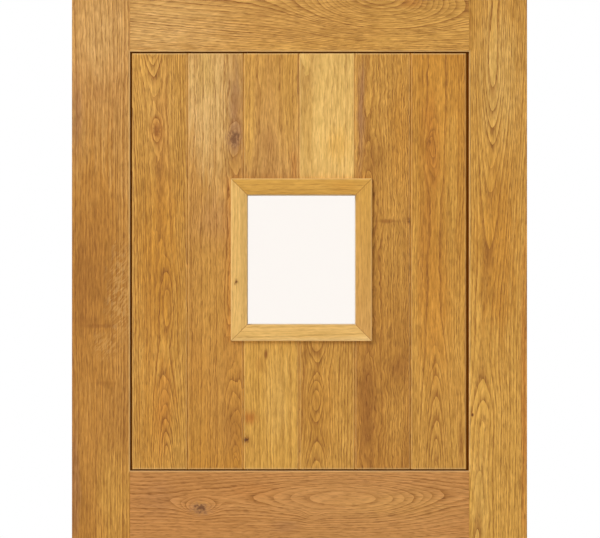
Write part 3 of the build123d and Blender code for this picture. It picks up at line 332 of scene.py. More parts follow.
class Sawing:
    """One piece's own frame in the log: across its face, into its depth and along its grain."""

    def __init__(self, node_name, sawn):
        self.low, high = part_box(node_name)
        self.middle, size = (self.low + high) / 2, high - self.low
        self.turn = math.radians(sawn.get("grain", 0))
        self.cos, self.sin = math.cos(self.turn), math.sin(self.turn)
        self.length = size.x * self.sin + size.z * self.cos

    def place(self, x, z):
        """A place in the door's frame, in millimetres, as metres across and along the piece."""
        x, z = x * MM - self.middle.x, z * MM - self.middle.z
        return x * self.cos - z * self.sin, x * self.sin + z * self.cos

    def drawn_out(self, radius, stretch):
        """Half sizes, in the door's frame, of an oval that is drawn out along the grain."""
        return radius * (1 + (stretch - 1) * self.sin), radius * (1 + (stretch - 1) * self.cos)

    def oval(self, add, board, x, z, half_x, half_z):
        """A vector from the middle of an oval on the face, as long as 1 at its rim."""
        across, along = self.place(x, z)
        half_across = (half_x * self.cos + half_z * self.sin) * MM
        half_along = (half_x * self.sin + half_z * self.cos) * MM
        return add("VectorMath", [board, (1 / half_across, 0, 1 / half_along),
                                  (-across / half_across, 0, -along / half_along)], "MULTIPLY_ADD")

    def patch(self, add, board, fray, place, strength, rim, core):
        """A mask: an oval with a frayed edge, none at its rim and full in its core.

        The rim and the core are shares of the oval's half sizes.
        """
        off = add("VectorMath", [self.oval(add, board, *place)], "LENGTH", out="Value")
        off = add("Math", [off, fray], "ADD")
        return add("MapRange", {"Value": off, "From Min": rim, "From Max": core, "To Max": strength},
                   interpolation_type="SMOOTHSTEP")


# Steps through the noise from one piece's seed to the next, which set the pieces apart
BEND_STEPS, FIGURE_STEPS, PACE_STEP, YEAR_STEP = (5.1, 2.3, 3.7), (7.9, 4.1, 1.0), 5.3, 17.0
WIDTH_STEP = 3000.0  # a step for each metre of a streak's width, which sets wide and narrow ones apart


def curled(add, board, seed, crinkle):
    """The board's frame, bent as the trunk wandered, wavered and crinkled while it grew."""
    # Width of the bends in millimetres, their length by their width, how far they reach across and
    # into the board in millimetres, and the noise's detail. The noise swings about a half
    for width, stretch, reach, into, detail in ((120, 3.5, 15, 22, 1.0),
                                                (24, 3.2, 4.6 * crinkle, 3.8 * crinkle, 2.0),
                                                (8, 2.2, 1.7 * crinkle, 1.2 * crinkle, 1.0)):
        across, deep, along = (seed * step for step in BEND_STEPS)
        wide = 1 / (width * MM)
        place = add("VectorMath", [board, (wide, wide, wide / stretch),
                                   (across + width, deep, along)], "MULTIPLY_ADD")
        push = add("TexNoise", {"Vector": place, "Scale": 1.0, "Detail": detail}, out="Color")
        push = add("VectorMath", [push, (0.5, 0.5, 0.5)], "SUBTRACT")
        board = add("VectorMath", [push, (reach * MM, into * MM, 0), board], "MULTIPLY_ADD")
    return board


def streaks(add, place, seed, width, stretch, detail=1.0, roughness=0.5):
    """Noise drawn out along the grain: its width in metres, and its length as a multiple of that."""
    across, deep, along = (seed * step for step in FIGURE_STEPS)
    scaled = add("VectorMath", [place, (1 / width, 1 / width, 1 / (width * stretch)),
                                (across, deep, along + width * WIDTH_STEP)], "MULTIPLY_ADD")
    return add("TexNoise", {"Vector": scaled, "Scale": 1.0, "Detail": detail, "Roughness": roughness})


def off_sides(add, spot, opening):
    """How far a place lies outside an upright opening, sideways and upwards, in metres."""
    x, _, z = add("SeparateXYZ", [spot]).node.outputs
    beyond = []
    for place, near, far in ((x, *opening[:2]), (z, *opening[2:])):
        off = add("Math", [place, (near + far) / 2], "SUBTRACT")
        off = add("Math", [off], "ABSOLUTE")
        beyond.append(add("Math", [off, (far - near) / 2], "SUBTRACT"))
    return beyond


def off_rim(add, spot, opening):
    """How far a place lies outside an upright opening, in metres. Inside it is below zero."""
    return add("Math", off_sides(add, spot, opening), "MAXIMUM")


# How oak grows. Lengths are in metres
SWELL_FADE = 0.9  # how fast a bend of the trunk fades from its middle
KNOT_BEND, KNOT_LIFT = 1.5, 1.1  # the bend round a knot: its half size and height, in the knot's radii
KNOT_STRETCH, BEND_STRETCH = 1.7, 2.2  # length of a knot and of the bend round it, by its width
KNOT_RIMS, KNOT_CORE = (2.4, 1.2), 0.2  # the tone round a knot and the knot itself, in its radii
STAIN_RIM, STAIN_CORE, SILVER_RIM, SILVER_CORE = 1.4, 0.2, 1.3, 0.4  # in their half sizes
YEAR_WAVES, YEAR_SWING = 55.0, 2.6  # waves of fast and slow growth to a metre, and their swing in years
FAINT_YEAR = 0.45  # the faintest year's porous line, where the boldest is 1
SPRING_FADE = 2.0  # power by which spring wood fades into summer wood
PORE_RIM, PORE_CORE = 0.5, 0.63  # noise at a pore's rim and where it is full
SUMMER_PORES = 0.3  # share of the pores that summer wood keeps
# Slant of a ray fleck, its width, and its height by its width
RAY_SLANT, RAY_WIDTH, RAY_STRETCH = math.radians(50), 10 * MM, 0.28
RAY_RIM, RAY_CORE = 0.4, 0.6  # noise between which a ray goes from dark to pale
RAY_SEED = 3  # added to the piece's seed, so that its rays don't follow its figure
# Width of the streaks of a figure, their length by their width, and their strength
FIGURES = ((90 * MM, 2.4, 0.5), (18 * MM, 22, 0.42), (8 * MM, 3.0, 0.52))
FIBRE_STRETCH, FIBRE_STRENGTH = 12, 1.22
# Frayed edges of stains and knots: what is added to the piece's seed, width of the fraying, its
# length by its width, and its swing in half sizes of the oval
STAIN_FRAY, KNOT_FRAY = (5, 7 * MM, 7, 1.4), (9, 4 * MM, 1.6, 3.0)
RED_FADE, BLUE_FADE = 0.86, 1.4  # powers of red and blue, because darker oak is redder and yellower
SPRING_STRENGTH, PORE_STRENGTH = 0.9, 0.68
SPRING_RELIEF, PORE_RELIEF, PORE_ROUGHNESS = -0.3, -0.7, 0.2

# How the door wears, with painted highlights on its arrises and painted shade in its joints. Depths are
# behind the framing's face, in metres
ARRIS_HIGHLIGHT_DEPTH = 2.2 * MM  # the painted highlight reaches no deeper
JOINT_START, JOINT_FULL, JOINT_END = 2.6 * MM, 5.5 * MM, 19.5 * MM  # where painted shade and dust lie in a joint
JOINT_RIM, JOINT_STRENGTH = 0.6 * MM, 0.9  # its reach past the panel's edge, and how much it hides
MITRE_WIDTH, MITRE_STRENGTH = 0.7 * MM, 0.6  # half width of the dark line along a mitre


def oak(node_name, seed, edges=None, panel=None, mitred=False):
    """Dresses a piece in European oak, planed, sanded along the grain and rubbed with hardwax oil.

    The saw shows each year's growth as a line of open pores, which hold the oil and go brown. The
    dense wood between them stays pale. Oil leaves a satin face with the pores a little open.
    Painted highlights stand for the light caught on the arrises at the edges, and painted shade, with some
    dust, darkens the joints of the panel. The seed sets the piece's noise apart from the others'.
    """
    oils = bpy.context.scene.stable_door_oak
    sawn = SAWN.get(node_name) or from_stack(node_name)
    material, add = new_material("Oiled oak " + node_name)
    cut = Sawing(node_name, sawn)
    spot = add("TexCoord", out="Object")
    board = add("Mapping", {"Vector": spot, "Rotation": (0, cut.turn, 0),
                            "Location": (cut.middle.x, cut.low.y, cut.middle.z)}, vector_type="TEXTURE")
    grown = curled(add, board, seed, sawn.get("crinkle", 1.0))

    # The heart's distance behind the face, with the trunk's bends and the knots that lift the rings
    heart_x, heart_z, heart_depth = sawn["heart"]
    across, depth, along = add("SeparateXYZ", [grown]).node.outputs
    depth = add("Math", [heart_depth * MM, depth], "SUBTRACT")
    knots = sawn.get("knots", [])
    for x, z, half_x, half_z, forward in sawn.get("swells", []) + [
            (x, z, *cut.drawn_out(size * KNOT_BEND, BEND_STRETCH), size * KNOT_LIFT)
            for x, z, size, *_ in knots]:
        oval = cut.oval(add, grown, x, z, half_x, half_z)
        hump = add("VectorMath", [oval, oval], "DOT_PRODUCT", out="Value")
        hump = add("Math", [hump, -SWELL_FADE], "MULTIPLY")
        hump = add("Math", [hump], "EXPONENT")
        depth = add("Math", [hump, -forward * MM, depth], "MULTIPLY_ADD")
    side, lean = sawn.get("lean", (0, 0))
    across = add("Math", [along, -side * MM, across], "MULTIPLY_ADD")
    across = add("Math", [across, cut.place(heart_x, heart_z)[0]], "SUBTRACT")
    depth = add("Math", [along, -lean * MM, depth], "MULTIPLY_ADD")
    radius = add("CombineXYZ", [across, depth])
    radius = add("VectorMath", [radius], "LENGTH", out="Value")

    # Each year starts with a line of wide pores and fades into dense summer wood
    pace = add("Math", [radius, YEAR_WAVES, seed * PACE_STEP], "MULTIPLY_ADD")
    pace = add("TexNoise", {"W": pace, "Scale": 1.0, "Detail": 1.0}, noise_dimensions="1D")
    pace = add("Math", [pace, YEAR_SWING], "MULTIPLY")
    years = add("Math", [radius, 1 / (sawn["ring"] * MM), pace], "MULTIPLY_ADD")
    age = add("Math", [years], "FRACT")
    year = add("Math", [years], "FLOOR")
    year = add("Math", [year, seed * YEAR_STEP], "ADD")
    year = add("TexWhiteNoise", {"W": year}, out="Value", noise_dimensions="1D")
    year = add("MapRange", {"Value": year, "To Min": FAINT_YEAR})
    spring = add("Math", [1.0, age], "SUBTRACT")
    spring = add("Math", [spring, SPRING_FADE], "POWER")
    spring = add("Math", [spring, year], "MULTIPLY")

    # Pores crowd in the spring wood
    pore = streaks(add, grown, seed, oils.pore_width, oils.pore_length / oils.pore_width)
    pore = add("MapRange", {"Value": pore, "From Min": PORE_RIM, "From Max": PORE_CORE})
    crowd = add("MapRange", {"Value": spring, "To Min": SUMMER_PORES})
    pore = add("Math", [pore, crowd], "MULTIPLY")

    # The board's drift from one end to the other, and over it layers of colour, each with its mask
    foot, head = (getattr(oils, tone) for tone in sawn["tones"])
    drift = add("MapRange", {"Value": add("SeparateXYZ", [board], out="Z"),
                             "From Min": -cut.length / 2, "From Max": cut.length / 2})
    layers = [(drift, head, "MIX")]
    frays = []
    for extra, width, stretch, swing in (STAIN_FRAY, KNOT_FRAY):
        fray = streaks(add, grown, seed + extra, width, stretch, detail=2.0)
        frays.append(add("Math", [fray, swing, -swing / 2], "MULTIPLY_ADD"))
    for *place, tone, strength in sawn.get("stains", ()):
        mask = cut.patch(add, grown, frays[0], place, strength, STAIN_RIM, STAIN_CORE)
        layers.append((mask, getattr(oils, tone), "MIX"))

    # Ever finer figure
    strong = sawn.get("figure", 1.0)
    figures = FIGURES + ((oils.fibre_width, FIBRE_STRETCH, FIBRE_STRENGTH),)
    shade = 1.0 - strong * sum(amount for *_, amount in figures) / 2
    for width, stretch, amount in figures:
        figure = streaks(add, grown, seed, width, stretch, detail=2.0, roughness=0.6)
        shade = add("Math", [figure, amount * strong, shade], "MULTIPLY_ADD")
    red, blue = (add("Math", [shade, fade], "POWER") for fade in (RED_FADE, BLUE_FADE))
    layers.append((1.0, add("CombineColor", [red, shade, blue]), "MULTIPLY"))
    for mask, strength, tone in ((spring, SPRING_STRENGTH, oils.ring_brown),
                                 (pore, PORE_STRENGTH, oils.pore_brown)):
        mask = add("Math", [mask, strength * sawn.get("bold", 1.0)], "MULTIPLY")
        layers.append((mask, tone, "MIX"))

    # Ray flecks: sheets of pale cells across the grain, a few millimetres high
    silver = 0.0
    for *place, strength in sawn.get("silver", ()):
        mask = cut.patch(add, grown, frays[0], place, strength, SILVER_RIM, SILVER_CORE)
        silver = add("Math", [silver, mask], "MAXIMUM")
    if "silver" in sawn:
        slanting = add("Mapping", {"Vector": grown, "Rotation": (0, RAY_SLANT, 0)})
        sheet = streaks(add, slanting, seed + RAY_SEED, RAY_WIDTH, RAY_STRETCH)
        sheet = add("MapRange", {"Value": sheet, "From Min": RAY_RIM, "From Max": RAY_CORE})
        ripple = add("Mix", {0: sheet, 6: oils.chestnut, 7: oils.fleck}, out=2, data_type="RGBA")
        layers.append((silver, ripple, "MIX"))

    # Knots, dark inside their halos
    for x, z, size, darkness, halo in knots:
        place = (x, z, *cut.drawn_out(size, KNOT_STRETCH))
        for rim, tone in zip(KNOT_RIMS, (getattr(oils, halo), oils.knot)):
            mask = cut.patch(add, grown, frays[1], place, darkness, rim, KNOT_CORE)
            layers.append((mask, tone, "MIX"))

    # Painted highlights on the arrises, a dark line along the mitres, and painted shade with dust in the
    # joints
    depth = add("SeparateXYZ", [spot], out="Y")
    if edges is not None:
        # Painted highlight: a pale band along the arrises of the face
        rim = add("Math", [off_rim(add, spot, edges)], "ABSOLUTE")
        pale = add("MapRange", {"Value": rim, "From Min": oils.arris_highlight_width, "From Max": 0.0,
                                "To Max": oils.arris_highlight_strength})
        front = add("Math", [depth, FACE_Y + ARRIS_HIGHLIGHT_DEPTH], "LESS_THAN")
        layers.append((add("Math", [pale, front], "MULTIPLY"), oils.rubbed, "MIX"))
    if mitred:
        mitre = add("Math", [*off_sides(add, spot, edges), MITRE_WIDTH], "COMPARE")
        mitre = add("Math", [mitre, MITRE_STRENGTH], "MULTIPLY")
        layers.append((mitre, oils.joint_shade_and_dust_tone, "MIX"))
    shine = oils.shine
    if panel is not None:
        # Painted shade, with dust, darkens the faces deep in the panel's open joints
        sunk_shade_and_dust = add("MapRange", {"Value": depth, "From Min": FACE_Y + JOINT_START,
                                "From Max": FACE_Y + JOINT_FULL, "To Max": JOINT_STRENGTH})
        for place, limit in ((off_rim(add, spot, panel), JOINT_RIM), (depth, FACE_Y + JOINT_END)):
            near = add("Math", [place, limit], "LESS_THAN")
            sunk_shade_and_dust = add("Math", [sunk_shade_and_dust, near], "MULTIPLY")
        layers.append((sunk_shade_and_dust, oils.joint_shade_and_dust_tone, "MIX"))
        shine = add("Math", [sunk_shade_and_dust, -shine, shine], "MULTIPLY_ADD")
    shown = foot
    for mask, tone, way in layers:
        shown = add("Mix", {0: mask, 6: shown, 7: tone}, out=2, data_type="RGBA", blend_type=way)

    rough = add("Math", [pore, PORE_ROUGHNESS, oils.gloss], "MULTIPLY_ADD")
    relief = add("Math", [spring, SPRING_RELIEF], "MULTIPLY")
    relief = add("Math", [pore, PORE_RELIEF, relief], "MULTIPLY_ADD")
    bump = add("Bump", {"Strength": 0.6, "Distance": oils.pore_depth, "Height": relief})
    shader = add("BsdfPrincipled", {"Base Color": shown, "Roughness": rough, "Normal": bump,
                                    "IOR": 1.5, "Specular IOR Level": shine})
    add("OutputMaterial", {"Surface": shader})
    dress(node_name, material)


# The stack that the pieces out of the picture's sight were sawn from: how far the heart lies off the
# piece's middle, the width of a year and the trunk's lean, in millimetres, and the tones of the ends
STACK = ((-45, 3.4, 12, ("honey", "honey")), (20, 3.7, 6, ("amber", "honey")),
         (-10, 4.0, 0, ("honey", "toffee")), (38, 4.3, -6, ("straw", "honey")),
         (5, 4.6, -12, ("ash", "honey")))
STACK_DEPTHS = (42, 51, 60, 69)  # the heart behind the face, in millimetres
STACK_SIDE, STACK_SWELL = 8, 26  # the trunk's sideways lean and its swell at the butt, in millimetres


def from_stack(node_name):
    """How a piece that the picture doesn't show was sawn."""
    low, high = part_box(node_name)
    number = sorted(NODES).index(node_name)
    offset, ring, lean, tones = STACK[number % len(STACK)]
    (x, _, z), size = (low + high) / 2 / MM, (high - low) / MM
    if size.z >= size.x:
        grain, x, butt = 0, x + offset, (x + offset, low.z / MM)
    else:
        grain, z, butt = 90, z + offset, (low.x / MM, z + offset)
    if node_name == "bottom_leaf_brace":
        grain = math.degrees(math.atan2(size.x, size.z))
    reach = max(size.x, size.z) / 4
    return dict(grain=grain, tones=tones, heart=(x, z, STACK_DEPTHS[number % len(STACK_DEPTHS)]),
                ring=ring, swells=[(*butt, reach, reach, STACK_SWELL)], lean=(STACK_SIDE, lean))


def deselect_all():
    """Leaves nothing selected."""
    if bpy.context.object and bpy.context.object.mode != "OBJECT":
        bpy.ops.object.mode_set(mode="OBJECT")
    bpy.ops.object.select_all(action="DESELECT")


def take(obj):
    """Selects one object alone."""
    deselect_all()
    obj.select_set(True)
    bpy.context.view_layer.objects.active = obj


def settle(obj):
    """Puts a finished piece's place into its mesh, so that its object sits at the origin."""
    take(obj)
    bpy.ops.object.transform_apply(location=True, rotation=True, scale=True)


def pick(mode, wanted):
    """In edit mode, selects the faces or edges that wanted says yes to, and no others."""
    bpy.ops.mesh.select_mode(type=mode)
    bpy.ops.mesh.select_all(action="DESELECT")
    mesh = bmesh.from_edit_mesh(bpy.context.object.data)
    for element in mesh.faces if mode == "FACE" else mesh.edges:
        element.select_set(bool(wanted(element)))
    mesh.select_flush_mode()
    bmesh.update_edit_mesh(bpy.context.object.data)


def oak_pieces(*words):
    """The oak nodes whose names hold one of these words, in order of name."""
    return sorted(name for name in NODES if SLOTS[name] == "oak" and any(w in name for w in words))


def board_face(name, panel):
    """The front face of a board, without its tongues and the open joints round its panel."""
    low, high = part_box(name)
    left, right, foot, head = (place + inset * MM for place, inset in zip(panel, JOINTS))
    return max(low.x, left), min(high.x - TONGUE * MM, right), max(low.z, foot), min(high.z, head)


class STABLEDOOR_OT_framing(bpy.types.Operator):
    """Oak for the stiles and rails of the top leaf"""
    bl_idname = "stable_door.framing"
    bl_label = "Top leaf framing"

    def execute(self, context):
        for seed, name in enumerate(("hinge_stile", "lock_stile", "top_rail", "meeting_rail"), 3):
            oak("top_leaf_" + name, seed, TOP_PANEL, TOP_PANEL)
        return {"FINISHED"}


class STABLEDOOR_OT_boards(bpy.types.Operator):
    """Oak for the eight boards of the top leaf's panel"""
    bl_idname = "stable_door.boards"
    bl_label = "Top leaf boards"

    def execute(self, context):
        for seed, name in enumerate(oak_pieces("top_leaf_board"), 11):
            oak(name, seed, board_face(name, TOP_PANEL), TOP_PANEL)
        return {"FINISHED"}


class STABLEDOOR_OT_beads(bpy.types.Operator):
    """Oak for the glazing beads on both sides of the light, and for the trimmers behind it"""
    bl_idname = "stable_door.beads"
    bl_label = "Beads and trimmers"

    def execute(self, context):
        names = oak_pieces("bead", "trimmer")
        ring = [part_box(name) for name in names if "outer_bead" in name]
        outline = (min(low.x for low, _ in ring), max(high.x for _, high in ring),
                   min(low.z for low, _ in ring), max(high.z for _, high in ring))
        for seed, name in enumerate(names, 31):
            shows = name in SAWN
            oak(name, seed, outline if shows else None, mitred=shows)
        return {"FINISHED"}


class STABLEDOOR_OT_bottom_leaf(bpy.types.Operator):
    """Oak for the bottom leaf's framing, boards and brace"""
    bl_idname = "stable_door.bottom_leaf"
    bl_label = "Bottom leaf"

    def execute(self, context):
        for seed, name in enumerate(oak_pieces("bottom_leaf"), 51):
            edges = board_face(name, BOTTOM_PANEL) if "board" in name else BOTTOM_PANEL
            oak(name, seed, edges, BOTTOM_PANEL)
        return {"FINISHED"}


class STABLEDOOR_OT_door_frame(bpy.types.Operator):
    """Oak for the jambs, head and sill"""
    bl_idname = "stable_door.door_frame"
    bl_label = "Door frame"

    def execute(self, context):
        for seed, name in enumerate(oak_pieces("frame_"), 71):
            oak(name, seed)
        return {"FINISHED"}


def clear_glass(tint):
    """Float glass, 4 mm, fire polished: a hard clear mirror shine, and a faint warm tint."""
    material, add = new_material("Float glass")
    shader = add("BsdfPrincipled", {"Base Color": tint, "Roughness": 0.0, "IOR": 1.52,
                                    "Transmission Weight": 1.0})
    add("OutputMaterial", {"Surface": shader})
    return material


def spacer_bar(tint, hole_tint):
    """Anodised aluminium strip, rolled: satin, with breathing holes for the drying beads inside."""
    pitch, rim, core = 4 * MM, 0.24, 0.18  # of the holes, whose rim and core are shares of the pitch
    material, add = new_material("Anodised aluminium spacer bar")
    spot = add("TexCoord", out="Object")
    holes = add("TexVoronoi", {"Vector": spot, "Scale": 1 / pitch, "Randomness": 0.0}, out="Distance")
    holes = add("MapRange", {"Value": holes, "From Min": rim, "From Max": core})
    shown = add("Mix", {0: holes, 6: tint, 7: hole_tint}, out=2, data_type="RGBA")
    shader = add("BsdfPrincipled", {"Base Color": shown, "Metallic": 0.9, "Roughness": 0.42})
    add("OutputMaterial", {"Surface": shader})
    return material


def dull_plastic(name, tint, grit, roughness):
    """Extruded rubber, butyl or nylon: dull, with a fine bloom of dust that breaks up its black."""
    bloom_tint, unevenness = [c * 1.8 for c in tint[:3]] + [1.0], 0.1
    material, add = new_material(name)
    spot = add("TexCoord", out="Object")
    bloom = add("TexNoise", {"Vector": spot, "Scale": 1 / grit, "Detail": 3.0})
    shown = add("Mix", {0: bloom, 6: tint, 7: bloom_tint}, out=2, data_type="RGBA")
    rough = add("MapRange", {"Value": bloom, "To Min": roughness - unevenness,
                             "To Max": roughness + unevenness})
    bump = add("Bump", {"Strength": 0.3, "Distance": 0.1 * MM, "Height": bloom})
    shader = add("BsdfPrincipled", {"Base Color": shown, "Roughness": rough, "Normal": bump})
    add("OutputMaterial", {"Surface": shader})
    return material


def silicone(tint):
    """Translucent silicone, tooled with a wet finger: smooth and milky, with slight ripples."""
    material, add = new_material("Tooled silicone sealant")
    spot = add("TexCoord", out="Object")
    ripple = add("TexNoise", {"Vector": spot, "Scale": 1 / (14 * MM), "Detail": 1.0})
    bump = add("Bump", {"Strength": 0.25, "Distance": 0.4 * MM, "Height": ripple})
    shader = add("BsdfPrincipled", {"Base Color": tint, "Roughness": 0.3, "Normal": bump,
                                    "Subsurface Weight": 0.4, "Subsurface Radius": (1.0, 0.8, 0.6),
                                    "Subsurface Scale": 2 * MM})
    add("OutputMaterial", {"Surface": shader})
    return material


SEALANT_HEIGHT, SEALANT_ROUND = 1.6, 0.85  # height of the fillet and reach of its rounding, by its width
SEALANT_SKIN = 0.05 * MM  # air between the sealant and the glass, so that their faces don't flicker


def run_sealant(name, opening, glass_y, seat_y, width, material):
    """A tooled fillet of sealant round the light, in the corner between the glass and the beads."""
    left, right, low, high = opening
    middle = Vector(((left + right) / 2, glass_y, (low + high) / 2))
    rise = seat_y - glass_y
    deselect_all()
    bpy.ops.mesh.primitive_plane_add(size=1.0, location=middle, rotation=(math.pi / 2, 0, 0))
    ring = bpy.context.object
    ring.name = name
    bpy.ops.object.mode_set(mode="EDIT")
    bpy.ops.transform.resize(value=(right - left, 1.0, high - low), center_override=middle)
    bpy.ops.mesh.inset(thickness=width, depth=0.0)
    bpy.ops.mesh.delete(type="ONLY_FACE")
    bpy.ops.mesh.select_all(action="SELECT")
    bpy.ops.mesh.extrude_region_move(TRANSFORM_OT_translate={"value": (0, rise, 0)})

    def inner_front(edge):
        """Edges round the ring's hole, on the side away from the glass."""
        ends = [ring.matrix_world @ vertex.co - middle for vertex in edge.verts]
        return all(abs(end.y - rise) < abs(rise) / 4 and abs(end.x) < (right - left - width) / 2
                   and abs(end.z) < (high - low - width) / 2 for end in ends)

    pick("EDGE", inner_front)
    bpy.ops.mesh.bevel(offset=width * SEALANT_ROUND, segments=4, profile=0.5, affect="EDGES")
    bpy.ops.mesh.select_all(action="SELECT")
    bpy.ops.mesh.normals_make_consistent(inside=False)
    bpy.ops.object.mode_set(mode="OBJECT")
    settle(ring)
    ring.data.materials.append(material)
    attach(ring, "top_leaf")


class STABLEDOOR_OT_glazing(bpy.types.Operator):
    """The sealed unit, its tapes and blocks, and a fillet of sealant on each side of it"""
    bl_idname = "stable_door.glazing"
    bl_label = "Glazing"

    def execute(self, context):
        looks = context.scene.stable_door_glazing
        glass, sealant = clear_glass(looks.glass), silicone(looks.sealant)
        dress("glass_spacer_bar", spacer_bar(looks.spacer, looks.holes))
        dress("glazing_tapes", dull_plastic("Butyl glazing tape", looks.tape, 3 * MM, 0.7))
        dress("glass_setting_blocks", dull_plastic("Nylon setting block", looks.block, 5 * MM, 0.55))
        for side, outward in (("outer", -1), ("inner", 1)):
            beads = [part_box(f"{side}_bead_{end}") for end in ("left", "right", "bottom", "top")]
            left, right = sorted(beads[:2], key=lambda corners: corners[0].x)
            opening = (left[1].x, right[0].x, beads[2][1].z, beads[3][0].z)
            pane = side + "_glass_pane"
            dress(pane, glass)
            low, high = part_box(pane)
            glass_y = low.y if outward < 0 else high.y
            run_sealant(side + "_sealant", opening, glass_y + outward * SEALANT_SKIN,
                        glass_y + outward * looks.sealant_width * SEALANT_HEIGHT,
                        looks.sealant_width, sealant)
        return {"FINISHED"}


class STABLEDOOR_OT_weather_seal(bpy.types.Operator):
    """Rubber for the seal that the leaves close on"""
    bl_idname = "stable_door.weather_seal"
    bl_label = "Weather seal"

    def execute(self, context):
        tint = context.scene.stable_door_glazing.seal
        dress("frame_weather_seal", dull_plastic("Extruded rubber weather seal", tint, 4 * MM, 0.6))
        return {"FINISHED"}


def satin_steel(name, looks, grain):
    """Satin stainless steel, brushed along its length: soft streaked highlights, no mirror.

    grain is the brushing's stretch to the right, in depth and up.
    """
    dark = [c * 0.8 for c in looks.steel[:3]] + [1.0]
    material, add = new_material(name)
    spot = add("TexCoord", out="Object")
    scaled = add("VectorMath", [spot, [1 / (looks.brush * stretch) for stretch in grain]], "MULTIPLY")
    scratch = add("TexNoise", {"Vector": scaled, "Scale": 1.0, "Detail": 3.0, "Roughness": 0.65})
    cloud = add("TexNoise", {"Vector": spot, "Scale": 1 / (26 * MM), "Detail": 2.0})
    shown = add("Mix", {0: cloud, 6: dark, 7: looks.steel}, out=2, data_type="RGBA")
    rough = add("MapRange", {"Value": scratch, "From Min": 0.3, "From Max": 0.7, "To Min": 0.24,
                             "To Max": 0.44})
    bump = add("Bump", {"Strength": 0.25, "Distance": 0.05 * MM, "Height": scratch})
    shader = add("BsdfPrincipled", {"Base Color": shown, "Metallic": 1.0, "Roughness": rough,
                                    "Normal": bump})
    add("OutputMaterial", {"Surface": shader})
    return material


class STABLEDOOR_OT_ironmongery(bpy.types.Operator):
    """Satin stainless steel for the hinges, bolts, keep and strike plate"""
    bl_idname = "stable_door.ironmongery"
    bl_label = "Ironmongery"

    def execute(self, context):
        looks = context.scene.stable_door_ironmongery
        upright = satin_steel("Satin stainless steel, brushed upright", looks, (1.0, 1.0, 40.0))
        level = satin_steel("Satin stainless steel, brushed level", looks, (40.0, 1.0, 1.0))
        for name in NODES:
            if SLOTS[name] == "steel":
                dress(name, level if name.startswith("bottom_bolt") else upright)
        return {"FINISHED"}


# A screw's form. Shares are of its head's radius, unless they say otherwise
HEAD_RIM, SOFT_EDGE = 0.25 * MM, 0.12 * MM
SHANK, TAPER, TIP = 0.5, 0.8, 1.0  # radius of the shank, depth of the countersink, length of the tip
TIP_WIDTH = 0.12  # share of the shank's width that the blunt tip keeps
RECESS_REACH = 1.15  # length of the cross recess
RECESS_FOOT = 0.55  # share of its width that the recess keeps at its foot
NEARLY = 0.9  # a share that tells a face or a rim from the others


def points_down(face):
    """Whether a face looks down."""
    return face.normal.z < -NEARLY


def model_screw(head, reach, looks):
    """A countersunk screw with a cross recess. Its head's face is at the origin, and it points down."""
    deselect_all()
    bpy.ops.mesh.primitive_cylinder_add(vertices=32, radius=head, depth=HEAD_RIM,
                                        location=(0, 0, -HEAD_RIM / 2))
    screw = bpy.context.object
    bpy.ops.object.mode_set(mode="EDIT")
    depth, taper, tip = -HEAD_RIM, head * TAPER, head * TIP
    pick("FACE", points_down)
    for drop, narrow in ((taper - HEAD_RIM, SHANK), (reach - taper - tip, 1.0), (tip, TIP_WIDTH)):
        depth -= drop
        bpy.ops.mesh.extrude_region_move(TRANSFORM_OT_translate={"value": (0, 0, -drop)})
        bpy.ops.transform.resize(value=(narrow, narrow, 1.0), center_override=(0, 0, depth))
    bpy.ops.object.mode_set(mode="OBJECT")
    settle(screw)
    long, wide = head * RECESS_REACH, looks.recess_width
    for across, along in ((long, wide), (wide, long)):
        deselect_all()
        bpy.ops.mesh.primitive_cube_add(size=1.0, location=(0, 0, 0))
        cross = bpy.context.object
        bpy.ops.object.mode_set(mode="EDIT")
        bpy.ops.transform.resize(value=(across, along, looks.recess_depth * 2), center_override=(0, 0, 0))
        pick("FACE", points_down)
        bpy.ops.transform.resize(value=(RECESS_FOOT, RECESS_FOOT, 1.0),
                                 center_override=(0, 0, -looks.recess_depth))
        bpy.ops.object.mode_set(mode="OBJECT")
        settle(cross)
        take(screw)
        recess = screw.modifiers.new("Cross recess", "BOOLEAN")
        recess.operation, recess.object, recess.solver = "DIFFERENCE", cross, "EXACT"
        bpy.ops.object.modifier_apply(modifier=recess.name)
        bpy.data.objects.remove(cross)
    bevel = screw.modifiers.new("Soft edges", "BEVEL")
    bevel.width, bevel.segments, bevel.angle_limit = SOFT_EDGE, 1, math.radians(40)
    bpy.ops.object.modifier_apply(modifier=bevel.name)
    return screw


def screw_places(node_name):
    """Where each of a CAD node's screws stands: its head's middle and radius, its way and its length."""
    solids = NODES[node_name].copy()
    solids.data = solids.data.copy()
    solids.parent = None
    bpy.context.scene.collection.objects.link(solids)
    take(solids)
    bpy.ops.object.mode_set(mode="EDIT")
    bpy.ops.mesh.select_all(action="SELECT")
    bpy.ops.mesh.remove_doubles(threshold=0.01 * MM)
    bpy.ops.mesh.separate(type="LOOSE")
    bpy.ops.object.mode_set(mode="OBJECT")
    places = []
    for solid in list(bpy.context.selected_objects):
        corners = [vertex.co.copy() for vertex in solid.data.vertices]
        low, high = (Vector([end(c[i] for c in corners) for i in range(3)]) for end in (min, max))
        size, middle = high - low, (low + high) / 2
        axis = max(range(3), key=lambda i: size[i])
        radius = max(size[i] for i in range(3) if i != axis) / 2
        wide = [c for c in corners if (c - middle)[(axis + 1) % 3] > NEARLY * radius]
        head_first = sum(c[axis] for c in wide) / len(wide) < middle[axis]
        into, head = Vector((0.0, 0.0, 0.0)), middle.copy()
        into[axis] = 1.0 if head_first else -1.0
        head[axis] = low[axis] if head_first else high[axis]
        places.append((head, into, radius, size[axis]))
        bpy.data.objects.remove(solid)
    return sorted(places, key=lambda place: tuple(place[0]))


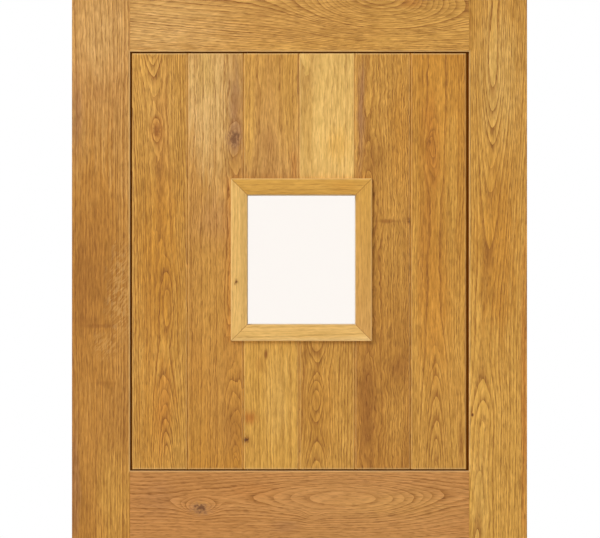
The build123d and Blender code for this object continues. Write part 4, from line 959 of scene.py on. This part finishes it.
class STABLEDOOR_OT_screws(bpy.types.Operator):
    """Countersunk screws with a cross recess, for the hinges, bolts, keep and strike plate"""
    bl_idname = "stable_door.screws"
    bl_label = "Screws"

    def execute(self, context):
        looks = context.scene.stable_door_ironmongery
        steel = satin_steel("Satin stainless steel screws", looks, (1.0, 1.0, 1.0))
        sets = {"frame_screws": "frame", "top_leaf_screws": "top_leaf", "bottom_leaf_screws": "bottom_leaf"}
        places = {name: screw_places(name) for name in sets}
        _, _, radius, reach = places["frame_screws"][0]
        pattern = model_screw(radius, reach, looks)
        pattern.data.materials.append(steel)
        further = 0.7  # how much further each screw is turned in than the one before, in radians
        for name, body in sets.items():
            copies = []
            for number, (head, into, _, _) in enumerate(places[name]):
                one = pattern.copy()
                one.data = pattern.data.copy()
                bpy.context.scene.collection.objects.link(one)
                driven = Matrix.Rotation(further * number, 4, "Z")
                turn = (-into).to_track_quat("Z", "Y").to_matrix().to_4x4()
                one.data.transform(Matrix.Translation(head) @ turn @ driven)
                copies.append(one)
            take(copies[0])
            for one in copies:
                one.select_set(True)
            bpy.ops.object.join()
            joined = bpy.context.object
            joined.name = "recessed_" + name
            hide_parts(name)
            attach(joined, body)
        bpy.data.objects.remove(pattern)
        return {"FINISHED"}


def seen(add):
    """One where the eye sees a thing, straight or in metal and glass, and none where it only lights."""
    rays = add("LightPath").node.outputs
    straight = add("Math", [rays["Is Camera Ray"], rays["Is Glossy Ray"]], "MAXIMUM")
    return add("Math", [straight, rays["Is Transmission Ray"]], "MAXIMUM")


WHITE = (1, 1, 1, 1)
SOFT_WORLD = 0.4  # strength of the white surround as a light
FLOOR_RADIUS, FADE_START, FADE_END = 45.0, 1.6, 5.5  # metres from the door
AIM_BELOW = 0.2  # metres from the leaf's middle down to the spot that the lamps point at
# Each lamp's place and width in metres
LAMPS = {"key": ((-3.1, -4.7, 5.2), 3.0), "fill": ((3.2, -3.2, 1.6), 2.0), "back": ((2.6, 3.4, 3.2), 1.6)}
PICTURE_WIDTH, PICTURE_HEIGHT = 600, 538  # pixels
HEAD_CUT = 0.5  # pixels of the leaf's head that lie above the picture


class STABLEDOOR_OT_studio(bpy.types.Operator):
    """Pale floor, white surround, three soft lights and the camera"""
    bl_idname = "stable_door.studio"
    bl_label = "Studio"

    def execute(self, context):
        looks = context.scene.stable_door_studio
        scene = context.scene
        scene.view_settings.view_transform = "Standard"

        # White where it is seen, in glass and in metal, and softer on what it lights
        world = bpy.data.worlds.new("White surround")
        scene.world = world
        world.use_nodes = True
        world.node_tree.nodes.clear()
        add = partial(add_node, world.node_tree)
        soft = add("Background", {"Color": WHITE, "Strength": SOFT_WORLD})
        white = add("Background", {"Color": WHITE, "Strength": 1.0})
        add("OutputWorld", {"Surface": add("MixShader", [seen(add), soft, white])})

        # The floor fades into the surround a few metres from the door
        deselect_all()
        bpy.ops.mesh.primitive_circle_add(vertices=96, radius=FLOOR_RADIUS, fill_type="NGON",
                                          location=(0, 0, 0))
        floor = bpy.context.object
        floor.name = "floor"
        material, add = new_material("Pale studio floor")
        reach = add("VectorMath", [add("TexCoord", out="Object")], "LENGTH", out="Value")
        far = add("MapRange", {"Value": reach, "From Min": FADE_START, "From Max": FADE_END},
                  interpolation_type="SMOOTHSTEP")
        far = add("Math", [far, seen(add)], "MULTIPLY")
        matt = add("BsdfPrincipled", {"Base Color": looks.floor, "Roughness": 0.85})
        glow = add("Emission", {"Color": WHITE, "Strength": 1.0})
        add("OutputMaterial", {"Surface": add("MixShader", [far, matt, glow])})
        floor.data.materials.append(material)

        target = Vector((0, 0, (LEAF_HEAD + LEAF_FOOT) / 2 - AIM_BELOW))
        for name, (where, size) in LAMPS.items():
            deselect_all()
            bpy.ops.object.light_add(type="AREA", location=where)
            lamp = bpy.context.object
            lamp.name = name
            lamp.data.size, lamp.data.energy = size, getattr(looks, name)
            lamp.rotation_euler = (target - Vector(where)).to_track_quat("-Z", "Y").to_euler()

        # The camera looks straight at the top leaf, and the picture just cuts its head
        height = LEAF_HEAD - (PICTURE_HEIGHT / 2 + HEAD_CUT) * looks.view_width / PICTURE_WIDTH
        bpy.ops.object.camera_add(location=(looks.camera_x, FACE_Y - looks.distance, height),
                                  rotation=(math.pi / 2, 0, 0))
        camera = bpy.context.object
        camera.data.lens = camera.data.sensor_width * looks.distance / looks.view_width
        camera.data.clip_end = 100.0
        scene.camera = camera
        return {"FINISHED"}


class STABLEDOOR_PT_panel(bpy.types.Panel):
    """Every step of the stable door's finish, and its sizes and colours"""
    bl_idname = "STABLEDOOR_PT_panel"
    bl_label = "Stable door"
    bl_space_type = "VIEW_3D"
    bl_region_type = "UI"
    bl_category = "Stable door"

    def draw(self, context):
        for step in STEPS:
            self.layout.operator(step.bl_idname)
        for group, name in GROUPS.items():
            box = self.layout.box()
            box.label(text=group.__doc__)
            for prop in group.__annotations__:
                box.prop(getattr(context.scene, name), prop)


GROUPS = {StableDoorOak: "stable_door_oak", StableDoorGlazing: "stable_door_glazing",
          StableDoorIronmongery: "stable_door_ironmongery", StableDoorStudio: "stable_door_studio"}
STEPS = (STABLEDOOR_OT_studio, STABLEDOOR_OT_framing, STABLEDOOR_OT_boards, STABLEDOOR_OT_beads,
         STABLEDOOR_OT_glazing, STABLEDOOR_OT_bottom_leaf, STABLEDOOR_OT_door_frame,
         STABLEDOOR_OT_weather_seal, STABLEDOOR_OT_ironmongery, STABLEDOOR_OT_screws)


def register():
    for group, name in GROUPS.items():
        bpy.utils.register_class(group)
        setattr(bpy.types.Scene, name, bpy.props.PointerProperty(type=group))
    for made in STEPS + (STABLEDOOR_PT_panel,):
        bpy.utils.register_class(made)


def unregister():
    for made in (STABLEDOOR_PT_panel,) + STEPS[::-1]:
        bpy.utils.unregister_class(made)
    for group, name in GROUPS.items():
        delattr(bpy.types.Scene, name)
        bpy.utils.unregister_class(group)


def main():
    register()
    for step in STEPS:
        family, name = step.bl_idname.split(".")
        getattr(getattr(bpy.ops, family), name)()


if __name__ == "__main__":
    main()
